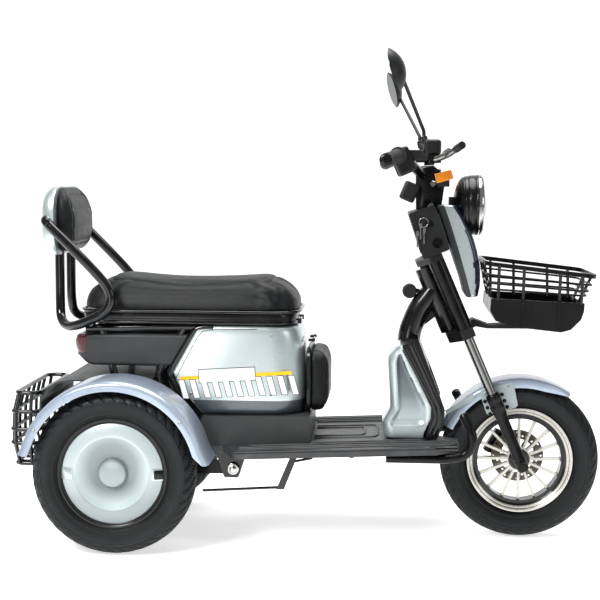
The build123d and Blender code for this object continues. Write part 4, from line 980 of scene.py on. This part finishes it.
def backrest_back():
    """The backrest's bright shell: a rounded dish that cups the back of its pad."""
    low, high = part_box("backrest_shell")
    middle, half_y, half_z = (low[2] + high[2]) / 2, high[1], (high[2] - low[2]) / 2
    layers = [(0.006, 0.004), (0.006, 0.0), (0.0, -0.001), (-0.010, 0.001), (-0.018, 0.006), (-0.025, 0.014),
              (-0.030, 0.025), (-0.0325, 0.038), (-0.0335, 0.055)]
    plate("backrest_dish", half_z, half_y, (0.066, 0.02), layers,
          lambda depth, up, across: (high[0] + depth, across, middle + up), SILVER, "frame",
          ["backrest_shell"])


def seat_tray():
    """The seat's glossy base: a shallow tray with a stepped wall and a rolled bead round its foot."""
    low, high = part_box("seat_pan")
    high = (high[0] - 0.008, high[1], high[2])
    corner = 0.072
    layers = [(0.5735, 0.030), (0.5735, 0.0045), (0.5765, 0.0022), (0.5800, 0.0022), (0.5815, 0.0045),
              (0.5860, 0.0045), (0.5875, 0.0026), (0.5985, 0.0018), (0.6020, 0.0040), (0.6035, 0.010),
              (0.6035, 0.030)]
    rows = [plan_loop(low, high, max(0.02, corner - inset), z, inset) for z, inset in layers]
    stacked("seat_tray", rows, TRIM_ABS, "seat", ["seat_pan"])
    tube("tray_bead", plan_loop(low, high, corner, 0.5772, 0.0032), 0.0040, GLOSS, "seat", ring=True)


def wheel_cap(side, label):
    """A rear wheel's cap: a sloping ring, a dish that sinks towards its hub, and three small patches; the
    black one, in a bright border, is painted shade for the inside of a slot.
    """
    foot = 0.2643
    cone = [(0.036, 0.0050), (0.060, 0.0105), (0.091, 0.0205), (0.0945, 0.0222), (0.0990, 0.0222),
            (0.128, 0.0125), (0.1345, 0.0085)]
    dome = [(0.0, 0.0178), (0.028, 0.0178), (0.0325, 0.0165), (0.0345, 0.0135), (0.0350, 0.0060)]
    outline = dome + cone + [(0.1362, 0.0060), (0.1362, 0.0), (0.034, 0.0), (0.0, 0.0)]
    turned("cap_" + label, (REAR_AXLE_X, side * foot, AXLE_Z), (0, side, 0), [(h, r) for r, h in outline],
           CAP, "rear_wheel_" + label, ["wheel_cap_" + label], 96)
    # The third patch is black: painted shade for the inside of a slot, set in the second patch's bright
    # border.
    for number, (centre, half, lift, finish) in enumerate((
            (-0.1145, 0.0150, 0.0022, SILVER), (0.1165, 0.0150, 0.0018, SILVER),
            (0.1185, 0.0118, 0.0026, TRIM_ABS))):
        def on_cone(rise, u, v, centre=centre):
            out = foot + rise + between(cone, math.hypot(centre + u, v))
            return REAR_AXLE_X + centre + u, side * out, AXLE_Z + v
        layers = [(-0.003, 0.0), (lift - 0.0004, 0.0), (lift, 0.0006)]
        plate(f"cap_patch_{number}_{label}", half, half, (0.004, 0.004), layers, on_cone, finish,
              "rear_wheel_" + label, steps=4)


def child_back():
    """The child seat's base plate: a moulded slab with rounded corners and a raised lip."""
    middle, half_y, half_z = 0.426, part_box("child_plate")[1][1] + 0.002, 0.086
    layers = [(-0.0015, 0.010), (-0.0010, 0.005), (0.0010, 0.002), (0.0080, 0.0), (0.0100, 0.0015),
              (0.0110, 0.006), (0.0120, 0.010)]
    plate("child_back", half_z, half_y, (0.030, 0.02), layers, lambda x, up, across: (x, across, middle + up),
          TRIM_ABS, "child_seat", ["child_plate"])


def wire_basket():
    """The rear basket: thick enamelled wire rings, bowed uprights and a slatted floor."""
    front, half = -0.694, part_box("rear_basket")[1][1] - 0.005
    levels = [(0.3905, 0.060), (0.341, 0.072), (0.294, 0.074), (0.258, 0.074), (0.205, 0.062)]
    for number, (z, depth) in enumerate(levels):
        loop = plan_loop((front - depth, -half, 0), (front, half, 0), 0.020, z, 0.0, 4)
        tube(f"basket_ring_{number}", loop, 0.0056, GLOSS, "frame", "rear_basket", ring=True, smooth=False)
    for number, share in enumerate((-0.82, -0.5, -0.17, 0.17, 0.5, 0.82)):
        wire = [(front - depth, half * share, z) for z, depth in levels]
        wire.append((front, half * share, levels[-1][0]))
        tube(f"basket_rear_{number}", wire, 0.0046, GLOSS, "frame", "rear_basket", smooth=False)
    for side in (-1, 1):
        for number, share in enumerate((0.30, 0.82)):
            upright = [(front - depth * share, side * half, z) for z, depth in levels]
            tube(f"basket_side_{number}_{side + 1}", upright, 0.0046, GLOSS, "frame", "rear_basket",
                 smooth=False)
        hook = [(front - out, side * 0.098, z) for out, z in ((0.070, 0.341), (0.079, 0.346), (0.080, 0.330))]
        tube(f"basket_hook_{side + 1}", hook, 0.0052, GLOSS, "frame")
    for number, across in enumerate((-0.120, -0.060, 0.0, 0.060, 0.120)):
        tube(f"basket_front_{number}", [(front, across, levels[0][0]), (front, across, levels[-1][0])],
             0.0036, GLOSS, "frame", "rear_basket", smooth=False)


def steering_head():
    """The bracket between the bar's post and the lamp's plate, with its two through bolts."""
    side_view = [(0.288, 0.862), (0.300, 0.856), (0.338, 0.860), (0.3455, 0.880), (0.3520, 0.930),
                 (0.3440, 0.968), (0.3230, 0.986), (0.2920, 0.984)]
    mid_x, mid_z, rows = 0.319, 0.910, []
    for y, inset in ((-0.034, 0.0035), (-0.0325, 0.001), (-0.030, 0.0), (0.030, 0.0), (0.0325, 0.001),
                     (0.034, 0.0035)):
        rows.append([(mid_x + (x - mid_x) * (1 - inset / 0.025), y, mid_z + (z - mid_z) * (1 - inset / 0.05))
                     for x, z in side_view])
    stacked("head_bracket", rows, SATIN, "steering")
    for number, (x, z) in enumerate(((0.318, 0.880), (0.322, 0.938))):
        turned(f"head_bolt_{number}", (x, -0.033, z), (0, -1, 0),
               [(0, 0.0085), (0.005, 0.0085), (0.0062, 0.0072), (0.0062, 0.0040), (0.0035, 0.0036),
                (0.0035, 0)], STEEL, "steering", steps=6)


seat_body()
seat_tray()
for side, label in SIDES:
    wheel_cap(side, label)
child_back()
wire_basket()
steering_head()
leg_shield()
fairing()
backrest_back()
tail()
for side, label in SIDES:
    rear_guard(side, label)
front_guard()


def shield_beads():
    """Two raised beads down each side of the dark outer leg shield."""
    behind = [(0.252, 0.519), (0.284, 0.462), (0.309, 0.412), (0.335, 0.364), (0.333, 0.338), (0.320, 0.303)]
    ahead = [(0.270, 0.529), (0.300, 0.466), (0.323, 0.415), (0.347, 0.364), (0.345, 0.330), (0.331, 0.299)]
    for side, label in SIDES:
        for number, (points, reach, radius) in enumerate(((behind, 0.1445, 0.0075), (ahead, 0.1425, 0.0095))):
            tube(f"shield_bead_{number}_{label}", [(x, side * reach, z) for x, z in points], radius, GLOSS,
                 "frame")


shield_beads()


# ---- Side graphics: a yellow line, a blank plate and slanted bars ---------------------------
def side_graphics(side, label):
    """The graphics of one side of the seat's body."""
    face = side * (FLANK + 0.0002)
    line = [(-0.328, 0.427), (-0.037, 0.447), (-0.037, 0.456), (-0.324, 0.437)]
    border = [(-0.277, 0.420), (-0.129, 0.430), (-0.131, 0.466), (-0.279, 0.457)]
    blank = [(-0.2752, 0.4222), (-0.1308, 0.4319), (-0.1328, 0.4640), (-0.2770, 0.4551)]
    for name, corners, thick, finish in (("line", line, 0.0006, YELLOW),
                                         ("plate_border", border, 0.0011, INK),
                                         ("plate", blank, 0.0017, WHITE)):
        flat_on_side(f"{name}_{label}", corners, face, side * thick, finish, "frame")
    for number, (grow, finish, thick) in enumerate(((0.0017, INK, 0.0007), (0.0, WHITE, 0.0012))):
        x0, x1, drop, slant, pitch, climb = -0.0065 - grow, 0.0075 + grow, 0.047, 0.013, 0.0285, 0.00165
        outline = [(x0, grow), (x1, grow), (x1 + slant, -drop - grow), (x0 + slant, -drop - grow)]
        points = [(-0.3235 + pitch * k, face, 0.4275 + climb * k) for k in range(11)]
        corners = [(x, 0, z) for x, z in outline] + [(x, side * thick, z) for x, z in outline]
        walls = [(i, (i + 1) % 4, 4 + (i + 1) % 4, 4 + i) for i in range(4)]
        faces = [(3, 2, 1, 0), (4, 5, 6, 7)] + walls
        copies(f"bars_{number}_{label}", points, corners, faces, finish, "frame")
    seam = [(-0.337, 0.1402, 0.433), (-0.300, 0.1402, 0.505), (-0.275, 0.1402, 0.551),
            (-0.258, 0.1398, 0.5600), (-0.200, 0.1396, 0.5620), (-0.126, 0.1396, 0.5630)]
    tube("panel_line_" + label, mirrored(seam, side), 0.0009, INK, "frame")


for side, label in SIDES:
    side_graphics(side, label)


# ---- Lamps, levers and small fittings -------------------------------------------------------
def lamp_front():
    """The headlight: a stepped black bowl, its chromed rim and its domed, fluted glass."""
    low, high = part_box("headlight_bowl")
    radius, middle, mouth = (high[1] - low[1]) / 2, (low[2] + high[2]) / 2, high[0]
    centre = (mouth, 0, middle)
    bowl = [(-0.064, 0), (-0.064, 0.022), (-0.0615, 0.036), (-0.057, 0.050), (-0.0515, 0.062),
            (-0.0455, 0.070), (-0.0405, 0.0737), (-0.0385, 0.0735), (-0.0365, 0.0752), (-0.0300, 0.0764),
            (-0.0282, 0.0758), (-0.0262, 0.0776), (-0.0100, 0.0786), (-0.0082, 0.0776), (-0.0064, 0.0788),
            (0.0, 0.0792), (0.0, 0.06), (-0.05, 0.04), (-0.055, 0)]
    turned("headlight_shell", centre, (1, 0, 0), bowl, TRIM_ABS, "steering", ["headlight_bowl"], 96)
    rim = [(-0.002, radius - 0.004), (-0.001, radius + 0.0006), (0.004, radius + 0.0010),
           (0.0085, radius - 0.0004), (0.0115, radius - 0.0035), (0.0125, radius - 0.0075),
           (0.0110, radius - 0.0098), (0.004, radius - 0.0108)]
    rows = [[(mouth + depth, reach * math.cos(turn), middle + reach * math.sin(turn)) for depth, reach in rim]
            for turn in (2 * math.pi * k / 96 for k in range(96))]
    piece("headlight_rim", [p for row in rows for p in row], ring_faces(96, len(rim), closed_rows=True),
          CHROME, "steering", "headlight_lens")
    glass = [(0.0080 + 0.0140 * (1 - (k / 9) ** 2), (radius - 0.0103) * k / 9) for k in range(9, -1, -1)]
    turned("headlight_glass", centre, (1, 0, 0), [(0.002, 0.0), (0.002, radius - 0.0106)] + glass, LAMP_GLASS,
           "steering", ["headlight_lens"], 96)


def fork_legs():
    """Tapered black fork sleeves with clamp rings, axle nuts, the mudguard's studs and the caliper's arm."""
    rake = math.radians(23.5)
    along = Vector((-math.sin(rake), 0, math.cos(rake)))
    ahead = Vector((along.z, 0, -along.x))
    profile = [(-0.017, 0), (-0.017, 0.011), (-0.013, 0.0145), (-0.004, 0.0155), (0.006, 0.0150),
               (0.014, 0.0148), (0.030, 0.0148), (0.125, 0.0148), (0.138, 0.0158), (0.146, 0.0172),
               (0.160, 0.0176), (0.1615, 0.0188), (0.170, 0.0190), (0.1715, 0.0176), (0.184, 0.0176),
               (0.1855, 0.0188), (0.197, 0.0188), (0.201, 0.0170), (0.204, 0.0140), (0.204, 0.010),
               (0.19, 0.0)]
    verts, faces = screw_head()
    for side, label in SIDES:
        foot = Vector((FRONT_AXLE_X, side * 0.086, AXLE_Z))
        turned("fork_sleeve_" + label, foot, along, profile, SATIN, "steering", ["fork_lowers"])
        turned("axle_nut_" + label, foot + Vector((0, side * 0.012, 0)), (0, side, 0),
               [(0, 0.011), (0.006, 0.011), (0.0072, 0.0096), (0.0072, 0.0068), (0.0105, 0.0064),
                (0.0112, 0.0)], SATIN, "steering", steps=6 if side < 0 else 12)
        studs = [foot + along * rise + ahead * reach + Vector((0, side * (-0.0305), 0))
                 for rise in (0.150, 0.168, 0.186) for reach in (-0.024, 0.024)]
        corners = [(x, y * -side, z) for x, y, z in verts]
        copies("guard_studs_" + label, studs, corners, faces, SATIN, "steering", size=0.0052)
    turned("caliper_arm", Vector((FRONT_AXLE_X, 0.080, AXLE_Z)) + along * 0.052, -ahead,
           [(0, 0.010), (0.026, 0.012), (0.030, 0.0)], SATIN, "steering")


def rails_and_guards():
    """The armrests, bent in to carry the backrest, and the bent guard tubes at the floor's front corners."""
    arm = [(-0.668, 0.118, 0.838), (-0.676, 0.150, 0.843), (-0.660, 0.168, 0.828), (-0.600, 0.168, 0.769),
           (-0.545, 0.168, 0.713), (-0.510, 0.168, 0.674), (-0.497, 0.168, 0.640), (-0.511, 0.168, 0.606),
           (-0.552, 0.166, 0.585), (-0.592, 0.150, 0.568), (-0.630, 0.112, 0.560), (-0.655, 0.072, 0.577),
           (-0.659, 0.060, 0.620), (-0.659, 0.060, 0.690), (-0.659, 0.060, 0.758)]
    guard = [(0.208, 0.204, 0.2475), (0.290, 0.204, 0.2475), (0.366, 0.204, 0.2475), (0.408, 0.204, 0.256),
             (0.426, 0.204, 0.286), (0.424, 0.203, 0.310), (0.414, 0.194, 0.334), (0.405, 0.185, 0.351)]
    for side, label in SIDES:
        tube("armrest_tube_" + label, mirrored(arm, side), 0.0125, GLOSS, "frame", "armrest_" + label,
             rounds=8)
        turned("armrest_plug_" + label, (-0.664, side * 0.170, 0.835), (0, side, 0),
               [(0, 0.009), (0.010, 0.009), (0.0115, 0.0075), (0.012, 0)], SATIN, "frame")
        tube("guard_tube_" + label, mirrored(guard, side), 0.0120, SATIN, "frame", "side_guards", rounds=8)
        turned("guard_cap_" + label, (0.4055, side * 0.1855, 0.3505), (-0.43, -side * 0.43, 0.80),
               [(-0.004, 0.0122), (0.003, 0.0126), (0.008, 0.0115), (0.011, 0.007), (0.012, 0)], SATIN,
               "frame")


def floor_beads():
    """The floor's rolled edges, its lengthwise beads and the raised loop at its middle."""
    def top(x):
        return 0.269 + x * math.tan(math.radians(2.4))
    for side in (-1, 1):
        for number, (reach, radius, drop, rear, front) in enumerate((
                (0.2262, 0.0062, 0.0052, -0.172, 0.386), (0.205, 0.0030, 0.0, -0.165, 0.372),
                (0.190, 0.0036, -0.0006, -0.165, 0.372), (0.165, 0.0036, -0.0006, -0.140, 0.372),
                (0.140, 0.0036, -0.0006, 0.016, 0.300))):
            points = [(x, side * reach, top(x) - drop) for x in (rear, (rear + front) / 2, front)]
            tube(f"floor_bead_{number}_{side + 1}", points, radius, FLOOR if number else GLOSS, "frame",
                 rounds=4)
    for number, (reach, front) in enumerate(((0.052, 0.152), (0.082, 0.186))):
        half = [(0.020, reach), (0.080, reach), (front - 0.03, reach), (front, reach)]
        whole = half + [(front, 0.0)] + [(x, -y) for x, y in reversed(half)]
        tube(f"floor_loop_{number}", [(x, y, top(x)) for x, y in whole], 0.0032, FLOOR, "frame", rounds=4)


def small_details():
    """Keys, lock and charging port, pivot bolts, bar ends and softened plastic housings."""
    for node, body, voxel in (("switch_housings", "steering", 0.0018), ("instrument_box", "steering", 0.0020),
                              ("horn", "frame", 0.0018), ("brake_caliper", "steering", 0.0018),
                              ("turn_signals", "steering", 0.0012)):
        softened(node, body, voxel)
    key_side = -0.1125
    for name, x, z, radius in (("lock", 0.3115, 0.836, 0.0095), ("port", 0.333, 0.788, 0.0130)):
        barrel = [(0, radius), (0.0035, radius), (0.0050, radius - 0.0012), (0.0050, radius - 0.0032),
                  (0.0030, radius - 0.0040), (0.0030, 0)]
        turned(name + "_barrel", (x, key_side, z), (0, -1, 0), barrel, SATIN, "steering", ["ignition_lock"])
    blade = [(0.3035, 0.832), (0.3090, 0.832), (0.3100, 0.822), (0.3065, 0.816), (0.3080, 0.793),
             (0.3060, 0.790), (0.3035, 0.793), (0.3040, 0.816), (0.3015, 0.822)]
    for number, (shift, drop) in enumerate(((-0.016, 0.006), (-0.007, -0.006), (-0.024, -0.014))):
        flat_on_side(f"key_{number}", [(x + shift, z + drop) for x, z in blade],
                     key_side - 0.004 - 0.0014 * number, -0.0012, STEEL, "steering")
    ring, steps = 0.012, 16
    loop = [(0.297 + ring * math.cos(a), key_side - 0.0047, 0.840 + ring * math.sin(a))
            for a in (2 * math.pi * k / steps for k in range(steps))]
    tube("key_ring", loop, 0.0009, STEEL, "steering", ring=True)
    bolt = [(0, 0.0150), (0.0020, 0.0150), (0.0026, 0.0140), (0.0026, 0.0112), (0.0018, 0.0106),
            (0.0018, 0.0088), (0.0075, 0.0084), (0.0085, 0.0070), (0.0085, 0.0)]
    end = [(0, 0.0150), (0.0030, 0.0150), (0.0045, 0.0130), (0.0045, 0.0050), (0.0025, 0.0040), (0.0025, 0)]
    for side, label in SIDES:
        turned("pivot_bolt_" + label, (-0.188, side * 0.141, 0.197), (0, side, 0), bolt, CHROME, "frame")
        turned("grip_end_" + label, (0.1995, side * 0.3345, 0.9940), (-0.05, side, 0), end, TRIM_ABS,
               "steering")


def softened(node, body, voxel):
    """A CAD housing's copy with its edges moulded round."""
    made = placed(node + "_soft", NODES[node].data.copy())
    remeshed(made, voxel)
    made.modifiers.new("smooth", "SMOOTH").iterations = 5
    mesh = baked(made)
    dress(mesh, FINISH[node])
    settle(node + "_moulded", mesh, body, (node,), 60)


def levers():
    """Brake levers: bright round blades with black sleeves at their tips."""
    blade = [(0.318, 0.206, 0.998), (0.334, 0.222, 1.002), (0.350, 0.240, 1.010), (0.362, 0.268, 1.018),
             (0.378, 0.310, 1.030)]
    sleeve = [(0.3665, 0.2795, 1.0215), (0.373, 0.297, 1.0262), (0.3795, 0.314, 1.0310)]
    pivot = [(0.306, 0.988), (0.334, 0.990), (0.336, 1.004), (0.330, 1.0085), (0.306, 1.0085)]
    for side, label in SIDES:
        tube("lever_blade_" + label, mirrored(blade, side), 0.0078, STEEL, "steering", "brake_levers")
        tube("lever_sleeve_" + label, mirrored(sleeve, side), 0.0092, ABS, "steering", "brake_levers")
        flat_on_side("lever_pivot_" + label, pivot, side * 0.190, side * 0.024, SATIN, "steering",
                     ["brake_levers"])


def springs():
    """The rear shock absorbers: coil springs round bright dampers, between black cups."""
    tree, reach = spring_tree(), 0.151
    for side, label in SIDES:
        low, high = Vector((-0.4872, side * reach, 0.266)), Vector((-0.4776, side * reach, 0.392))
        along = (high - low).normalized()
        mesh = grown(placed("spring_holder", bpy.data.meshes.new("spring_holder")), tree, Turns=6.5,
                     Radius=0.0155, Height=(high - low).length, Wire=0.0034, Finish=GLOSS)
        mesh.transform(Matrix.Translation(low) @ along.to_track_quat("Z", "Y").to_matrix().to_4x4())
        settle("spring_" + label, mesh, "frame", ("shocks",))
        foot, head = Vector((-0.488, side * reach, 0.241)), Vector((-0.476, side * reach, 0.411))
        tube("damper_" + label, [foot, (foot + head) / 2, head], 0.0085, STEEL, "frame", "shocks")
        for name, end, way in (("lower", low, 1), ("upper", high, -1)):
            tube(f"spring_cup_{name}_{label}", [end - along * 0.006 * way, end, end + along * 0.005 * way],
                 0.0192, SATIN, "frame", "shocks")


def fittings():
    """Screw heads on the rear mudguards, the seat's body and the front mudguard."""
    verts, faces = screw_head()

    def spot(radius, angle, x):
        turn = math.radians(angle)
        return x + radius * math.cos(turn), AXLE_Z + radius * math.sin(turn)
    rear = [spot(0.222, angle, REAR_AXLE_X) for angle in (38, 150)]
    front = [spot(0.205, angle, FRONT_AXLE_X) for angle in (100, 118)]
    box = [(-0.090, 0.546), (-0.090, 0.393), (-0.297, 0.393)]
    for side, label in SIDES:
        corners = [(x, y * -side, z) for x, y, z in verts]
        sides = faces if side < 0 else [tuple(reversed(face)) for face in faces]
        for name, spots, reach, size, body in (
                ("fender", rear, 0.3049, 0.0042, "frame"), ("body", box, FLANK - 0.0004, 0.0038, "frame"),
                ("fork", front, 0.0555, 0.0036, "steering")):
            copies(f"{name}_screws_{label}", [(x, side * reach, z) for x, z in spots], corners, sides, STEEL,
                   body, size=size)


def fender_stay():
    """The bright flat stay along the rear edge of the front mudguard, on its right."""
    strip = [(0.366, 0.334), (0.436, 0.374), (0.4395, 0.386), (0.434, 0.388), (0.362, 0.345)]
    flat_on_side("fender_stay", strip, -0.0535, -0.003, PALE_SILVER, "steering")


lamp_front()
fork_legs()
rails_and_guards()
floor_beads()
small_details()
levers()
springs()
fittings()
fender_stay()


# ---- Floor, light and camera ----------------------------------------------------------------
def look(location, forward, roll=0.0):
    """A camera or light matrix from where it stands, the way it faces and its turn, in degrees."""
    forward = Vector(forward).normalized()
    right = forward.cross(Vector((0, 0, 1))).normalized()
    up = right.cross(forward)
    c, s = math.cos(math.radians(roll)), math.sin(math.radians(roll))
    x_axis, y_axis = right * c + up * s, up * c - right * s
    facing = Matrix((x_axis, y_axis, -forward)).transposed().to_4x4()
    facing.translation = location
    return facing


def studio():
    """A pale floor that curves up into a backdrop, soft lamps and a dim even surround."""
    rows = [(-7, 0), (6, 0), (7.2, 0.15), (8.1, 0.6), (8.7, 1.4), (9, 2.6), (9, 9)]
    verts = [(x, y, z) for y, z in rows for x in (-12, 12)]
    mesh = bpy.data.meshes.new("floor")
    mesh.from_pydata(verts, [], [(2 * i, 2 * i + 1, 2 * i + 3, 2 * i + 2) for i in range(len(rows) - 1)])
    floor = placed("floor", mesh)
    made, tree, bsdf, place = finish_of("pale_paper", Roughness=0.8, Specular_IOR_Level=0.2,
                                        Emission_Color=linear("FFFFFF"))
    paper = ramp(tree, grain(tree, place, 3, 2), (0.3, "F2F2F2"), (0.7, "F6F6F6"))
    across = along_axis(tree, place, "Y")
    near = spanned(tree, across, -0.5, -2.0, interpolation_type="SMOOTHSTEP")
    tree.links.new(blended(tree, near, paper, "C0C0C2"), bsdf.inputs["Base Color"])
    glow = spanned(tree, across, -1.8, -0.5, 0.2, 0.6, interpolation_type="SMOOTHSTEP")
    tree.links.new(glow, bsdf.inputs["Emission Strength"])
    dress(mesh, made)
    lamps = [("key", (-1.9, -2.6, 3.0), 1.6, 165, (0, 0, 0.4)), ("top", (0.2, 0.3, 3.4), 2.6, 110, (0, 0, 0)),
             ("side", (3.2, -1.8, 1.6), 1.4, 12, (0, 0, 0.5)),
             ("low", (-1.05, -3.1, 0.2), 0.9, 8, (-0.2, 0, 0.45))]
    for name, place, size, power, aim in lamps:
        lamp = bpy.data.lights.new(name, "AREA")
        lamp.shape, lamp.size, lamp.energy = "DISK", size, power
        made = placed(name, lamp)
        made.matrix_world = look(place, Vector(aim) - Vector(place))
        made.visible_camera = False
    world = bpy.data.worlds.new("studio")
    world.use_nodes = True
    surround = world.node_tree.nodes["Background"].inputs
    surround["Color"].default_value, surround["Strength"].default_value = linear("F4F6FA"), 0.28
    bpy.context.scene.world = world
    bpy.context.scene.view_settings.view_transform = "Standard"


def camera():
    """The camera on the vehicle's right, a little ahead of it and looking slightly down."""
    optics = bpy.data.cameras.new("camera")
    optics.sensor_width, optics.lens = 36, 75.94
    made = placed("camera", optics)
    made.matrix_world = look((0.1926, -3.3591, 0.9433), (-0.06438, 0.99353, -0.09361), 0.346)
    bpy.context.scene.camera = made


studio()
camera()
